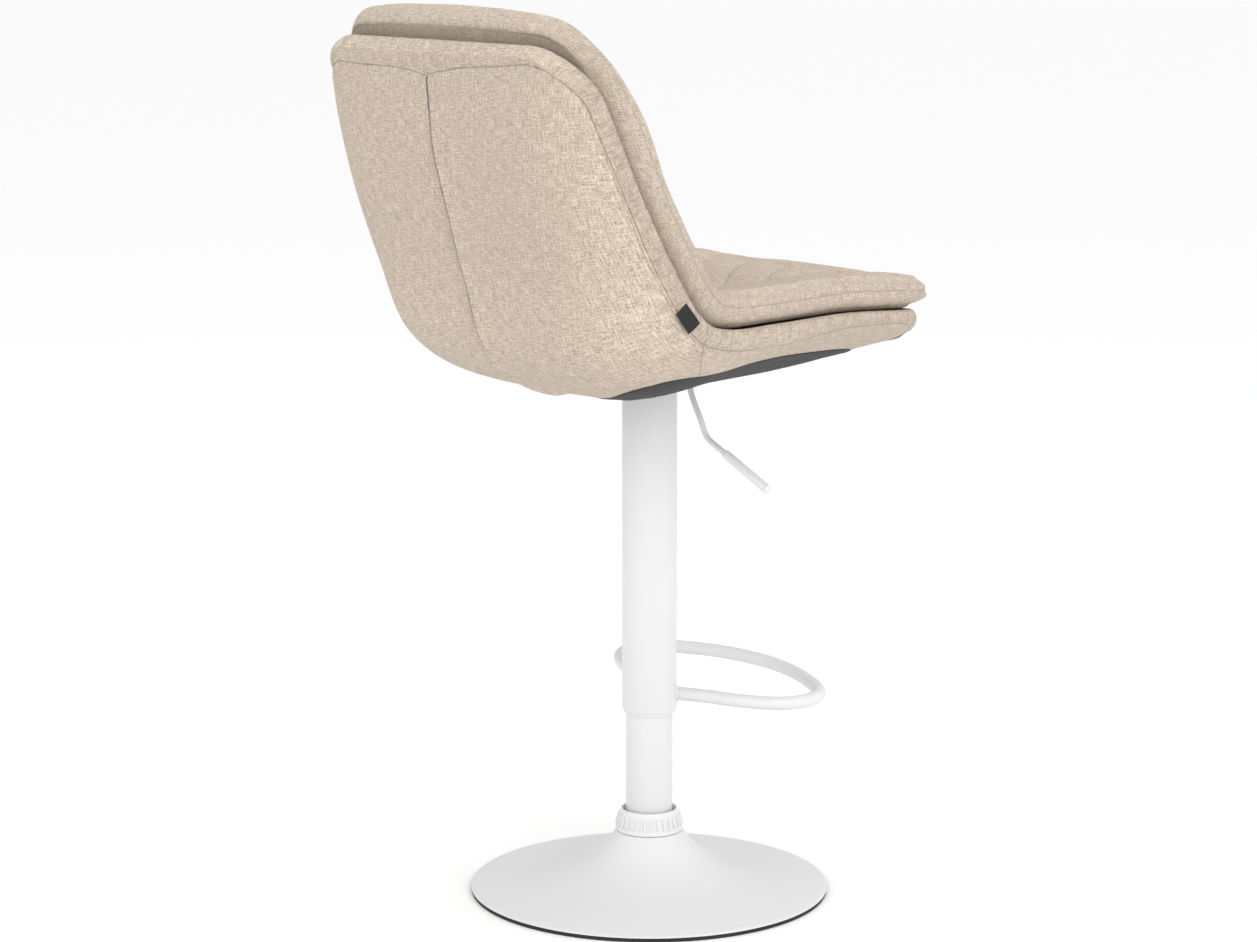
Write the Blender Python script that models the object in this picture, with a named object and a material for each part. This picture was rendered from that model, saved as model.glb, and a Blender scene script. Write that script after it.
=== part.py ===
"""Height-adjustable bar stool with a swivel gas lift and a footrest.
Metres, +Z up. The column axis is x = y = 0 and the floor is z = 0.
The sitter faces -Y, so the sitter's right is -X, the lever's side."""

import math

import bmesh
import bpy
from mathutils import Vector

# Driving sizes, in metres
GAP = 0.0003             # clearance between touching pieces
BASE_R = 0.1925          # outer radius of the trumpet base
SHEET = 0.002            # sheet steel of the base
TUBE_R = 0.025           # fixed lower tube
TUBE_WALL = 0.002
TUBE_TOP = 0.480
NECK_R = TUBE_R + 0.011  # neck of the trumpet under the collar
NECK_Z = 0.0655          # height of the neck's top face
COLLAR_TALL = 0.0242     # ribbed collar on the neck
END_RING_T = 0.0016      # plastic ring between the lower tube and the cover tube
COVER_WALL = 0.002
COVER_R = TUBE_R + END_RING_T + 2 * GAP + COVER_WALL
COVER_BOTTOM = 0.2000    # with the lift at its lowest
CYL_R = 0.014            # gas spring cylinder
CYL_WALL = 0.002
ROD_R = 0.005            # gas spring rod
ROD_TOP = 0.320
RING_TUBE_R = 0.00725    # footrest tube
RING_Z = 0.2145
RING_HALF = 0.132        # footrest half width
RING_REACH = 0.181       # footrest reach in front of the column axis
RING_TURN = math.radians(6)
RING_TILT = (0.04, 0.05)  # rise per metre forward and to the sitter's left
SEAT_Z = 0.6195          # board face over the column
SEAT_WIDE = 1.0          # scale of the seat's width
SEAT_DEEP = 1.0          # scale of the seat's depth, front to back
CORNER_R = 0.052         # plan corner radius of shell and pad
BOARD_T = 0.0077         # moulded plywood
BOARD_SET = 0.0020       # its face under the shell's edge
FABRIC_EDGE = 0.0120     # padded edge of the shell around the board
PLATE_T = 0.003          # steel mounting plate
PLATE_Z = SEAT_Z - BOARD_SET - BOARD_T - PLATE_T - 0.0008
PLATE_HALF = 0.075
BOLT_PITCH = 0.060       # bolt distance from the axis, in x and in y
BOLT_R = 0.0030          # seat bolts
COVER_TOP = PLATE_Z - 0.0310
LEVER_R = 0.00315
GRIP_R = 0.00475
PIN_R = 0.0022           # the lever's cross pin
PIVOT_X = -0.032
LEVER_Z = PLATE_Z - 0.0080  # height of the lever's pivot
DROP_X = -COVER_R - 0.0308  # where the lever turns down
TAU = 2 * math.pi

for old in list(bpy.data.objects):
    bpy.data.objects.remove(old)

stool = bpy.data.collections.new("bar_stool_with_footrest")
bpy.context.scene.collection.children.link(stool)
helpers = bpy.data.collections.new("cutters")
bpy.context.scene.collection.children.link(helpers)


def paint(name, colour, metal=0.0, rough=0.5):
    mat = bpy.data.materials.new(name)
    mat.use_nodes = True
    node = mat.node_tree.nodes["Principled BSDF"]
    node.inputs["Base Color"].default_value = (*colour, 1.0)
    node.inputs["Metallic"].default_value = metal
    node.inputs["Roughness"].default_value = rough
    mat.diffuse_color = (*colour, 1.0)
    return mat


def keep(name, bm, look, helper=False):
    bm.normal_update()
    bmesh.ops.recalc_face_normals(bm, faces=bm.faces)
    mesh = bpy.data.meshes.new(name)
    bm.to_mesh(mesh)
    bm.free()
    obj = bpy.data.objects.new(name, mesh)
    if helper:
        helpers.objects.link(obj)
        obj.hide_render = True
        obj.display_type = "WIRE"
    else:
        stool.objects.link(obj)
        mesh.materials.append(paint(name, *look))
    return obj


def turned(name, profile, look, steps=48, helper=False):
    """A closed profile of (radius, height) pairs turned about the column axis."""
    bm = bmesh.new()
    rings = []
    for k in range(steps):
        a = TAU * k / steps
        rings.append([bm.verts.new((r * math.cos(a), r * math.sin(a), z)) if r > 1e-9 else None
                      for r, z in profile])
    poles = [bm.verts.new((0, 0, z)) if r <= 1e-9 else None for r, z in profile]
    n = len(profile)
    for k in range(steps):
        here, there = rings[k], rings[(k + 1) % steps]
        for i in range(n):
            j = (i + 1) % n
            corners = [here[i] or poles[i], here[j] or poles[j],
                       there[j] or poles[j], there[i] or poles[i]]
            loop = []
            for c in corners:
                if c not in loop:
                    loop.append(c)
            if len(loop) > 2:
                bm.faces.new(loop)
    return keep(name, bm, look, helper)


def box(name, low, high, look=None, helper=False):
    bm = bmesh.new()
    bmesh.ops.create_cube(bm, size=1.0)
    for v in bm.verts:
        for i in range(3):
            v.co[i] = low[i] if v.co[i] < 0 else high[i]
    return keep(name, bm, look, helper)


def rod(name, points, radius, look, sides=12, helper=False):
    """A round bar through the points, as one closed mesh."""
    bm = bmesh.new()
    pts = [Vector(p) for p in points]
    rings = []
    side = None
    for i, p in enumerate(pts):
        ahead = (pts[min(i + 1, len(pts) - 1)] - pts[max(i - 1, 0)]).normalized()
        if side is None:
            side = ahead.orthogonal().normalized()
        side = (side - ahead * side.dot(ahead)).normalized()
        up = ahead.cross(side)
        rings.append([bm.verts.new(p + radius * (math.cos(TAU * k / sides) * side
                                                 + math.sin(TAU * k / sides) * up)) for k in range(sides)])
    for first, second in zip(rings, rings[1:]):
        for k in range(sides):
            m = (k + 1) % sides
            bm.faces.new([first[k], first[m], second[m], second[k]])
    bm.faces.new(rings[0][::-1])
    bm.faces.new(rings[-1])
    return keep(name, bm, look, helper)


def smooth_path(points, per=6):
    """Points along a Catmull-Rom curve through the given ones."""
    pts = [Vector(p) for p in points]
    pts = [2 * pts[0] - pts[1]] + pts + [2 * pts[-1] - pts[-2]]
    out = []
    for i in range(1, len(pts) - 2):
        a, b, c, d = pts[i - 1:i + 3]
        for k in range(per):
            t = k / per
            out.append(0.5 * (2 * b + (c - a) * t + (2 * a - 5 * b + 4 * c - d) * t * t
                              + (3 * b - a - 3 * c + d) * t ** 3))
    out.append(pts[-2])
    return out


def cut(obj, tool, kind="DIFFERENCE"):
    mod = obj.modifiers.new(kind.lower(), "BOOLEAN")
    mod.operation = kind
    mod.solver = "EXACT"
    mod.object = tool


white = ((0.86, 0.86, 0.85), 0.35, 0.35)
plastic = ((0.82, 0.82, 0.82), 0.0, 0.45)
rubber = ((0.03, 0.03, 0.03), 0.0, 0.8)
black = ((0.035, 0.035, 0.04), 0.0, 0.6)
steel = ((0.62, 0.62, 0.63), 1.0, 0.3)
iron = ((0.12, 0.12, 0.12), 0.6, 0.6)
ply = ((0.62, 0.45, 0.28), 0.0, 0.6)
linen = ((0.60, 0.52, 0.42), 0.0, 0.9)

# ---- base: spun trumpet, counterweight, cover, rubber ring and socket ----
flare = [(0.172, 0.0092), (0.145, 0.0135), (0.115, 0.0188), (0.090, 0.0250), (0.070, 0.0330), (0.056, 0.0425),
         (0.046, 0.0530), (0.0395, 0.0610)]
spread = (BASE_R - NECK_R) / (0.1925 - 0.036)
outer = ([(BASE_R, 0.0040), (BASE_R - 0.0015, 0.0058)]
         + [(NECK_R + (r - 0.036) * spread, z * NECK_Z / 0.0655) for r, z in flare] + [(NECK_R, NECK_Z)])
inner = [(r - SHEET * 0.4, z - SHEET) for r, z in outer[2:-1]]
profile = (outer + [(TUBE_R + GAP, NECK_Z), (TUBE_R + GAP, NECK_Z - SHEET),
                    (NECK_R - SHEET, NECK_Z - SHEET)] + inner[::-1] + [(BASE_R - 0.004, 0.0040)])
turned("base_shell", profile, white, 48)
turned("floor_ring", [(BASE_R - 0.0005, 0.0), (BASE_R - 0.0002, 0.0037), (BASE_R - 0.0100, 0.0037),
                      (BASE_R - 0.0100, 0.0)], rubber, 48)
weight_r = NECK_R + 0.124 * spread
turned("base_weight", [(TUBE_R + 0.009, 0.0032), (TUBE_R + 0.009, 0.0115), (weight_r - 0.018, 0.0105),
                       (weight_r, 0.0075), (weight_r, 0.0032)], iron, 48)
cover_r = BASE_R - 0.0125
turned("base_cover", [(0, 0.0015), (cover_r, 0.0015), (cover_r, 0.0028), (0, 0.0028)], black, 48)
turned("base_socket", [(0.0056, 0.0120), (TUBE_R + 0.006, 0.0120), (TUBE_R + 0.006, NECK_Z - SHEET - GAP),
                       (TUBE_R + GAP, NECK_Z - SHEET - GAP), (TUBE_R + GAP, 0.0180),
                       (0.0056, 0.0180)], steel, 48)
turned("base_bolt", [(0, 0.0034), (0.0085, 0.0034), (0.0085, 0.0094), (0.0050, 0.0094),
                     (0.0050, 0.0310), (0, 0.0310)], steel, 24)
turned("bolt_washer", [(0.0054, 0.0097), (0.0125, 0.0097), (0.0125, 0.0117), (0.0054, 0.0117)], steel, 24)
plug_r = TUBE_R - TUBE_WALL - GAP
turned("tube_plug", [(0.0053, 0.0183), (plug_r, 0.0183), (plug_r, 0.0340), (0.0053, 0.0340)], steel, 36)

# ---- ribbed collar where the lower tube leaves the base ----
bm = bmesh.new()
ribs = 30
top = NECK_Z + GAP + COLLAR_TALL
heights = [(NECK_Z + GAP, NECK_R - 0.0015), (NECK_Z + 0.0035, NECK_R + 0.0002), (NECK_Z + 0.0085, NECK_R + 0.0002),
           (top - 0.0050, NECK_R - 0.0030), (top - 0.0015, NECK_R - 0.0048), (top, NECK_R - 0.0070)]
loops = []
for z, r in heights:
    ring = []
    for k in range(2 * ribs):
        a = TAU * k / (2 * ribs)
        deep = 0.0011 if k % 2 and NECK_Z + 0.003 < z < top - 0.003 else 0.0
        ring.append(bm.verts.new(((r - deep) * math.cos(a), (r - deep) * math.sin(a), z)))
    loops.append(ring)
for r, z in ((TUBE_R + GAP, top), (TUBE_R + GAP, NECK_Z + GAP)):
    loops.append([bm.verts.new((r * math.cos(TAU * k / (2 * ribs)), r * math.sin(TAU * k / (2 * ribs)), z))
                  for k in range(2 * ribs)])
for first, second in zip(loops, loops[1:] + loops[:1]):
    for k in range(2 * ribs):
        m = (k + 1) % (2 * ribs)
        bm.faces.new([first[k], first[m], second[m], second[k]])
keep("base_collar", bm, plastic)

# ---- column: fixed lower tube, guide bush, thrust bearing and gas spring ----
turned("lower_tube", [(TUBE_R, 0.0183), (TUBE_R, TUBE_TOP), (TUBE_R - TUBE_WALL, TUBE_TOP),
                      (TUBE_R - TUBE_WALL, 0.0183)], white, 48)
turned("guide_bush", [(TUBE_R - TUBE_WALL - GAP, TUBE_TOP - 0.0500), (TUBE_R - TUBE_WALL - GAP, TUBE_TOP + GAP),
                      (TUBE_R - 0.0003, TUBE_TOP + GAP), (TUBE_R - 0.0003, TUBE_TOP + 0.0025),
                      (CYL_R + GAP, TUBE_TOP + 0.0025), (CYL_R + GAP, TUBE_TOP - 0.0500)], black, 36)
neck = ROD_R - 0.0001
for name, low, high, inside, wide in (("thrust_washer_low", 0.0343, 0.0361, ROD_R + GAP, ROD_R + 0.0115),
                                      ("thrust_cage", 0.0364, 0.0414, ROD_R + 0.0025, ROD_R + 0.0100),
                                      ("thrust_washer_top", 0.0417, 0.0436, ROD_R + GAP, ROD_R + 0.0115)):
    turned(name, [(inside, low), (wide, low), (wide, high), (inside, high)], steel, 24)
turned("piston_rod", [(0, 0.0350), (neck, 0.0350), (neck, 0.0439), (ROD_R + 0.0040, 0.0439),
                      (ROD_R + 0.0040, 0.0500), (ROD_R, 0.0500), (ROD_R, ROD_TOP), (0, ROD_TOP)], steel, 24)
turned("bump_stop", [(ROD_R + GAP, 0.0503), (ROD_R + 0.0090, 0.0503), (ROD_R + 0.0080, 0.0660),
                     (ROD_R + GAP, 0.0660)], rubber, 24)
head_r = CYL_R - CYL_WALL - 0.0004
turned("piston_head", [(0, ROD_TOP + GAP), (head_r, ROD_TOP + GAP), (head_r, ROD_TOP + 0.0180),
                       (0, ROD_TOP + 0.0180)], steel, 24)
cone_low, cone_top = PLATE_Z - 0.0560, PLATE_Z - 0.0180
PIN_TOP = LEVER_Z - LEVER_R - 0.0003
turned("pressure_tube", [(CYL_R - 0.0003, 0.0700), (CYL_R, 0.0715), (CYL_R, cone_low), (CYL_R - 0.0022, cone_top),
                         (0.0044, cone_top), (0.0044, cone_top - 0.0280), (0, cone_top - 0.0280),
                         (0, cone_top - 0.0480), (CYL_R - CYL_WALL, cone_top - 0.0480),
                         (CYL_R - CYL_WALL, 0.0700)], steel, 36)
turned("rod_seal", [(ROD_R + GAP, 0.0703), (CYL_R - CYL_WALL - GAP, 0.0703), (CYL_R - CYL_WALL - GAP, 0.0840),
                    (ROD_R + GAP, 0.0840)], rubber, 24)
turned("valve_pin", [(0, cone_top - 0.0220), (0.0040, cone_top - 0.0220), (0.0040, PIN_TOP - 0.0006),
                     (0.0034, PIN_TOP), (0, PIN_TOP)], steel, 20)

# ---- sliding cover tube, its end ring and the footrest ----
turned("cover_tube", [(COVER_R, COVER_BOTTOM), (COVER_R, COVER_TOP), (COVER_R - COVER_WALL, COVER_TOP),
                      (COVER_R - COVER_WALL, COVER_BOTTOM)], white, 48)
ring_r = COVER_R - COVER_WALL
turned("cover_end_ring", [(ring_r - 0.0007, COVER_BOTTOM - 0.0040), (ring_r, COVER_BOTTOM - 0.0030),
                          (ring_r, COVER_BOTTOM - GAP), (ring_r - GAP, COVER_BOTTOM - GAP),
                          (ring_r - GAP, COVER_BOTTOM + 0.0220), (TUBE_R + GAP, COVER_BOTTOM + 0.0220),
                          (TUBE_R + GAP, COVER_BOTTOM - 0.0040)], plastic, 48)
half = [(0.0190, 0.0260), (0.0470, 0.0400), (0.0825, 0.0535), (0.1180, 0.0765), (0.1320, 0.1070),
        (0.1210, 0.1380), (0.0840, 0.1610), (0.0460, 0.1750)]


def on_ring(x, forward):
    """A point of the footrest, turned and tilted as it is welded on."""
    grow = 1 + (COVER_R / 0.0292 - 1) * max(0.0, 1 - forward / 0.06)  # keeps its ends on the tube
    if grow != 1:
        x, forward = x * grow, forward * grow
    x, forward = x * RING_HALF / 0.132, forward * RING_REACH / 0.181
    c, s = math.cos(RING_TURN), math.sin(RING_TURN)
    return (forward * s + x * c, -(forward * c - x * s),
            RING_Z + RING_TILT[0] * (forward - 0.030) + RING_TILT[1] * (x + 0.020))


path = smooth_path([on_ring(-x, y) for x, y in half] + [on_ring(0, 0.181)]
                   + [on_ring(x, y) for x, y in half[::-1]], 3)
ring = rod("footrest_ring", path, RING_TUBE_R, white, 12)
cut(ring, turned("cut_ring", [(0, RING_Z - 0.06), (COVER_R + GAP, RING_Z - 0.06), (COVER_R + GAP, RING_Z + 0.08),
                             (0, RING_Z + 0.08)],
                 None, 48, helper=True))

# ---- seat: one curved bowl, described at stations from the back's top to the seat's front ----
# Each row: outer face centre, outer face side, half width, bowl exponent,
# board face centre, board face side, pad front centre, pad front side; (forward, height) in mm.
STATIONS = [
    ((-292, 960), (-287, 958), 192, 7.0, (-281, 966), (-268, 960), (-240, 970), (-240, 953)),
    ((-291, 903), (-265, 903), 198, 7.5, (-270, 908), (-245, 909), (-230, 916), (-209, 905)),
    ((-283, 835), (-238, 838), 207, 8.0, (-252, 841), (-219, 846), (-211, 850), (-175, 848)),
    ((-263, 757), (-205, 765), 213, 8.0, (-226, 766), (-189, 775), (-185, 780), (-149, 783)),
    ((-240, 680), (-170, 700), 213, 7.0, (-199, 692), (-151, 708), (-158, 714), (-118, 724)),
    ((-211, 603), (-124, 638), 212, 6.0, (-162, 636), (-111, 653), (-126, 680), (-95, 688)),
    ((-142, 560), (-80, 617), 211, 4.2, (-92, 620), (-72, 638), (-80, 663), (-71, 673)),
    ((-20, 551), (0, 615), 207, 2.0, (-8, 619.5), (0, 638), (0, 661), (0, 671)),
    ((100, 559), (95, 623), 203, 2.2, (98, 619), (95, 640), (98, 665), (96, 673)),
    ((205, 577), (190, 621), 198, 3.0, (203, 621), (192, 635), (208, 658), (200, 666)),
    ((275, 588), (266, 624), 195, 3.4, (274, 627), (266, 637), (278, 652), (272, 659)),
]
LAST = len(STATIONS) - 1


def blend(u, pick):
    """The picked value between stations, on a smooth curve."""
    u = min(max(u, 0.0), LAST - 1e-6)
    i = int(u)
    t = u - i
    rows = [STATIONS[min(max(i + k, 0), LAST)] for k in (-1, 0, 1, 2)]
    vals = [pick(r) for r in rows]
    if i == 0:
        vals[0] = [2 * a - b for a, b in zip(vals[1], vals[2])]
    if i == LAST - 1:
        vals[3] = [2 * a - b for a, b in zip(vals[2], vals[1])]
    return [0.5 * (2 * b + (c - a) * t + (2 * a - 5 * b + 4 * c - d) * t * t + (3 * b - a - 3 * c + d) * t ** 3)
            for a, b, c, d in zip(*vals)]


def layer(u, v, depth):
    """A point of the bowl: u along it, v across it in -1..1, depth 0 outer face, 1 board face, 2 pad front."""
    wide, power = blend(u, lambda r: (r[2], r[3]))
    faces = []
    for centre, side, p in ((0, 1, power), (4, 5, 2.6), (6, 7, 3.2)):
        cs, cz, ss, sz = blend(u, lambda r: (*r[centre], *r[side]))
        g = min(abs(v), 1.15) ** p
        faces.append((cs + (ss - cs) * g, cz + (sz - cz) * g))
    k = min(int(depth), 1)
    t = depth - k
    s = faces[k][0] * (1 - t) + faces[k + 1][0] * t
    z = faces[k][1] * (1 - t) + faces[k + 1][1] * t
    return Vector((v * wide * SEAT_WIDE, -s * SEAT_DEEP, z + (SEAT_Z - 0.6195) * 1000)) / 1000


def under(gap):
    """A depth that lies this far, in metres, outside the board face."""
    def depth(u, v):
        thick = (layer(u, v, 1) - layer(u, v, 0)).length
        return 1 - gap / max(thick, gap + 0.002)
    return depth


def skin(thick):
    """A depth this far inside the outer face."""
    def depth(u, v):
        return thick / (layer(u, v, 1) - layer(u, v, 0)).length
    return depth


def length_table(depth):
    us = [LAST * i / 400 for i in range(401)]
    dist = [0.0]
    for a, b in zip(us, us[1:]):
        dist.append(dist[-1] + (layer(b, 0.5, depth) - layer(a, 0.5, depth)).length)
    return us, dist


TABLE = length_table(1)


def at_length(d):
    us, dist = TABLE
    if d <= 0:
        return 0.0
    for i in range(len(us) - 1):
        if dist[i + 1] >= d:
            return us[i] + (us[i + 1] - us[i]) * (d - dist[i]) / (dist[i + 1] - dist[i])
    return float(LAST)


def length_at(u):
    us, dist = TABLE
    i = min(int(u * 400 / LAST), 399)
    return dist[i] + (dist[i + 1] - dist[i]) * (u * 400 / LAST - i)


def slab(name, start, end, low, high, look, inset=0.0, bulge=0.003, end_bulge=(0.003, 0.003),
         bow=(0.001, 0.012), rows=16, cols=12, loops=2, helper=False, corner=CORNER_R):
    """A closed shell-shaped slab between two depths, with rounded plan corners and a rounded edge."""
    begin, finish = length_at(start) + inset, length_at(end) - inset
    radius = corner - inset
    near = [radius * (1 - math.cos(math.pi / 2 * k / 5)) for k in range(5)]
    middle = [radius + (finish - begin - 2 * radius) * k / rows for k in range(rows + 1)]
    along = near + middle + [finish - begin - d for d in near[::-1]]
    bm = bmesh.new()
    low_rows, high_rows = [], []
    for d in along:
        u = at_length(begin + d)
        wide = blend(u, lambda r: (r[2], r[3]))[0] * SEAT_WIDE / 1000
        edge = min(d, finish - begin - d)
        short = radius - math.sqrt(max(radius ** 2 - (radius - edge) ** 2, 0)) if edge < radius else 0.0
        reach = (wide - inset - short) / wide
        low_row, high_row = [], []
        for j in range(cols + 1):
            a = -math.cos(math.pi * j / cols) * 0.35 + (2 * j / cols - 1) * 0.65
            crown = 1 - a * a
            push = bow[0] * crown * max(0, 1 - d / 0.12) ** 2 * -1
            push += bow[1] * crown * max(0, 1 - (finish - begin - d) / 0.12) ** 2
            uu = at_length(begin + d + push)
            low_row.append(layer(uu, a * reach, low(uu, a * reach) if callable(low) else low))
            high_row.append(layer(uu, a * reach, high(uu, a * reach) if callable(high) else high))
        low_rows.append(low_row)
        high_rows.append(high_row)
    n, m = len(along) - 1, cols
    rim = ([(i, 0) for i in range(n)] + [(n, j) for j in range(m)]
           + [(i, m) for i in range(n, 0, -1)] + [(0, j) for j in range(m, 0, -1)])
    low_v = [[bm.verts.new(p) for p in row] for row in low_rows]
    high_v = [[bm.verts.new(p) for p in row] for row in high_rows]
    for grid in (low_v, high_v):
        for i in range(n):
            for j in range(m):
                bm.faces.new([grid[i][j], grid[i + 1][j], grid[i + 1][j + 1], grid[i][j + 1]])
    rings = [[low_v[i][j] for i, j in rim]]
    for k in range(1, loops + 1):
        t = k / (loops + 1)
        ring_v = []
        for q, (i, j) in enumerate(rim):
            a, b = low_rows[i][j], high_rows[i][j]
            i0, j0 = rim[q - 1]
            i1, j1 = rim[(q + 1) % len(rim)]
            along_rim = low_rows[i1][j1] - low_rows[i0][j0]
            out = along_rim.cross(b - a).normalized()
            centre_in = low_rows[i][m // 2] if 0 < i < n else low_rows[n // 2 if i else n // 2][j]
            if out.dot(a - centre_in) < 0:
                out = -out
            amount = end_bulge[0] if i == 0 else end_bulge[1] if i == n else bulge
            if i < 5:
                amount = bulge + (end_bulge[0] - bulge) * (1 - i / 5)
            if i > n - 5:
                amount = bulge + (end_bulge[1] - bulge) * (1 - (n - i) / 5)
            ring_v.append(bm.verts.new(a.lerp(b, t) + out * amount * math.sin(math.pi * t)))
        rings.append(ring_v)
    rings.append([high_v[i][j] for i, j in rim])
    count = len(rim)
    for first, second in zip(rings, rings[1:]):
        for q in range(count):
            r = (q + 1) % count
            bm.faces.new([first[q], first[r], second[r], second[q]])
    return keep(name, bm, look, helper)


SHELL_TOP, SHELL_FRONT = 0.92, 9.34
PAD_TOP, PAD_FRONT = 0.43, 9.46
WELL = (0.166 * SEAT_WIDE, -0.186 * SEAT_DEEP, 0.152 * SEAT_DEEP)  # opening under the seat
WELL_R, WELL_TAPER, WELL_DIP = 0.060, 0.80, 0.048  # its corners, widening backwards, rear edge's hollow


def well(name, grow, low, high):
    """The rounded opening under the seat, as an upright prism."""
    bm = bmesh.new()
    half, front, back = WELL[0] + grow, WELL[1] - grow, WELL[2] + grow
    radius = WELL_R + grow
    plan = []
    for cx, cy, start in ((half - radius, back - radius, 0), (-half + radius, back - radius, 1),
                          (-half + radius, front + radius, 2), (half - radius, front + radius, 3)):
        for k in range(6):
            a = math.pi / 2 * (start + k / 5)
            plan.append((cx + radius * math.cos(a), cy + radius * math.sin(a)))
        if start == 0:
            plan += [((half - radius) * (1 - k / 4), back) for k in range(1, 8)]
    ring = []
    for x, y in plan:
        hollow = WELL_DIP * max(0.0, 1 - (x / (0.140 * SEAT_WIDE)) ** 2) ** 2 if y > 0 else 0.0
        ring.append((x * (1 + WELL_TAPER * y), y - hollow))
    bottom = [bm.verts.new((x, y, low)) for x, y in ring]
    top = [bm.verts.new((x, y, high)) for x, y in ring]
    bm.faces.new(bottom[::-1])
    bm.faces.new(top)
    for k in range(len(ring)):
        m = (k + 1) % len(ring)
        bm.faces.new([bottom[k], bottom[m], top[m], top[k]])
    return keep(name, bm, None, helper=True)


def posts(name, radius, low, high, centres, look=None, sides=20, helper=True):
    """Upright round posts at the centres, as one mesh."""
    bm = bmesh.new()
    for cx, cy in centres:
        foot = [bm.verts.new((cx + radius * math.cos(TAU * k / sides), cy + radius * math.sin(TAU * k / sides), low))
                for k in range(sides)]
        head = [bm.verts.new((v.co.x, v.co.y, high)) for v in foot]
        bm.faces.new(foot[::-1])
        bm.faces.new(head)
        for k in range(sides):
            m = (k + 1) % sides
            bm.faces.new([foot[k], foot[m], head[m], head[k]])
    return keep(name, bm, look, helper)


def pipe(name, x, y, profile, look, steps=12):
    obj = turned(name, profile, look, steps)
    for v in obj.data.vertices:
        v.co.x += x
        v.co.y += y
    return obj


def board_face(x, y):
    """The height of the board's face over a point of the plan."""
    low, high = 5.0, 9.0
    for _ in range(30):
        u = (low + high) / 2
        wide = blend(u, lambda r: (r[2], r[3]))[0] * SEAT_WIDE / 1000
        point = layer(u, x / wide, 1)
        low, high = (u, high) if point.y > y else (low, u)
    return point.z - BOARD_SET


corners = [(sx * BOLT_PITCH, sy * BOLT_PITCH) for sx in (-1, 1) for sy in (-1, 1)]
shell = slab("shell_cover", SHELL_TOP, SHELL_FRONT, 0.0, 1.0, linen, bulge=0.003, end_bulge=(0.009, 0.006))
pocket = slab("cut_pocket", SHELL_TOP, SHELL_FRONT, under(BOARD_SET + BOARD_T + 0.0014), 1.6, None,
              inset=FABRIC_EDGE, bulge=0.0,
              end_bulge=(0.0, 0.0), loops=1, helper=True)
cut(shell, pocket)
cut(shell, well("cut_well", 0.0, SEAT_Z - 0.12, SEAT_Z + 0.0205))
board = slab("shell_board", SHELL_TOP, SHELL_FRONT, under(BOARD_SET + BOARD_T), under(BOARD_SET), ply,
             inset=FABRIC_EDGE + 0.0018,
             bulge=0.0, end_bulge=(0.0, 0.0), loops=1)
cut(board, posts("cut_board_holes", BOLT_R + 0.0019, SEAT_Z - 0.04, SEAT_Z + 0.02, corners))
dust = slab("dust_cover", 4.9, 9.3, 0.0, skin(0.0016), black, bulge=0.0, end_bulge=(0.0, 0.0), loops=1,
            rows=12, cols=10, corner=0.02)
cut(dust, well("cut_dust", -GAP, SEAT_Z - 0.17, SEAT_Z + 0.08), "INTERSECT")
cut(dust, turned("cut_dust_hole", [(0, SEAT_Z - 0.17), (COVER_R + 0.0006, SEAT_Z - 0.17),
                                   (COVER_R + 0.0006, SEAT_Z + 0.08), (0, SEAT_Z + 0.08)],
                 None, 48, helper=True))
cut(dust, box("cut_lever_slot", (DROP_X - 0.0200, -LEVER_R - 0.0024, SEAT_Z - 0.12),
              (DROP_X + 0.0040, LEVER_R + 0.0024, SEAT_Z - 0.02), helper=True))


def pad_back(u, v):
    """The pad's rear face, 1.8 mm in front of the board face."""
    return 1 + 0.0018 / (layer(u, v, 2) - layer(u, v, 1)).length


slab("seat_pad", PAD_TOP, PAD_FRONT, pad_back, 2.0, linen, bulge=0.006, end_bulge=(0.010, 0.010),
     bow=(0.003, 0.012))

# ---- mounting plate, hub, bolts and T-nuts ----
plate = box("seat_plate", (-PLATE_HALF, -PLATE_HALF, PLATE_Z), (PLATE_HALF, PLATE_HALF, PLATE_Z + PLATE_T), steel)
cut(plate, posts("cut_plate_holes", BOLT_R + 0.0005, PLATE_Z - 0.02, PLATE_Z + 0.02, corners))
hub = turned("seat_hub", [(CYL_R + GAP, cone_low + 0.0020), (COVER_R - COVER_WALL - GAP, cone_low + 0.0020),
                          (COVER_R - COVER_WALL - GAP, COVER_TOP + GAP), (COVER_R + 0.0023, COVER_TOP + GAP),
                          (COVER_R + 0.0023, COVER_TOP + 0.0043), (CYL_R + 0.0080, COVER_TOP + 0.0043),
                          (CYL_R + 0.0080, PLATE_Z - GAP), (0.0100, PLATE_Z - GAP), (0.0100, cone_top + 0.0020),
                          (CYL_R - 0.0018, cone_top + 0.0020)], steel, 40)
cut(hub, box("cut_hub_slot", (-COVER_R - 0.0300, -LEVER_R - 0.0011, cone_top + 0.0023),
             (0.0070, LEVER_R + 0.0011, PLATE_Z + 0.02), helper=True))
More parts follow.
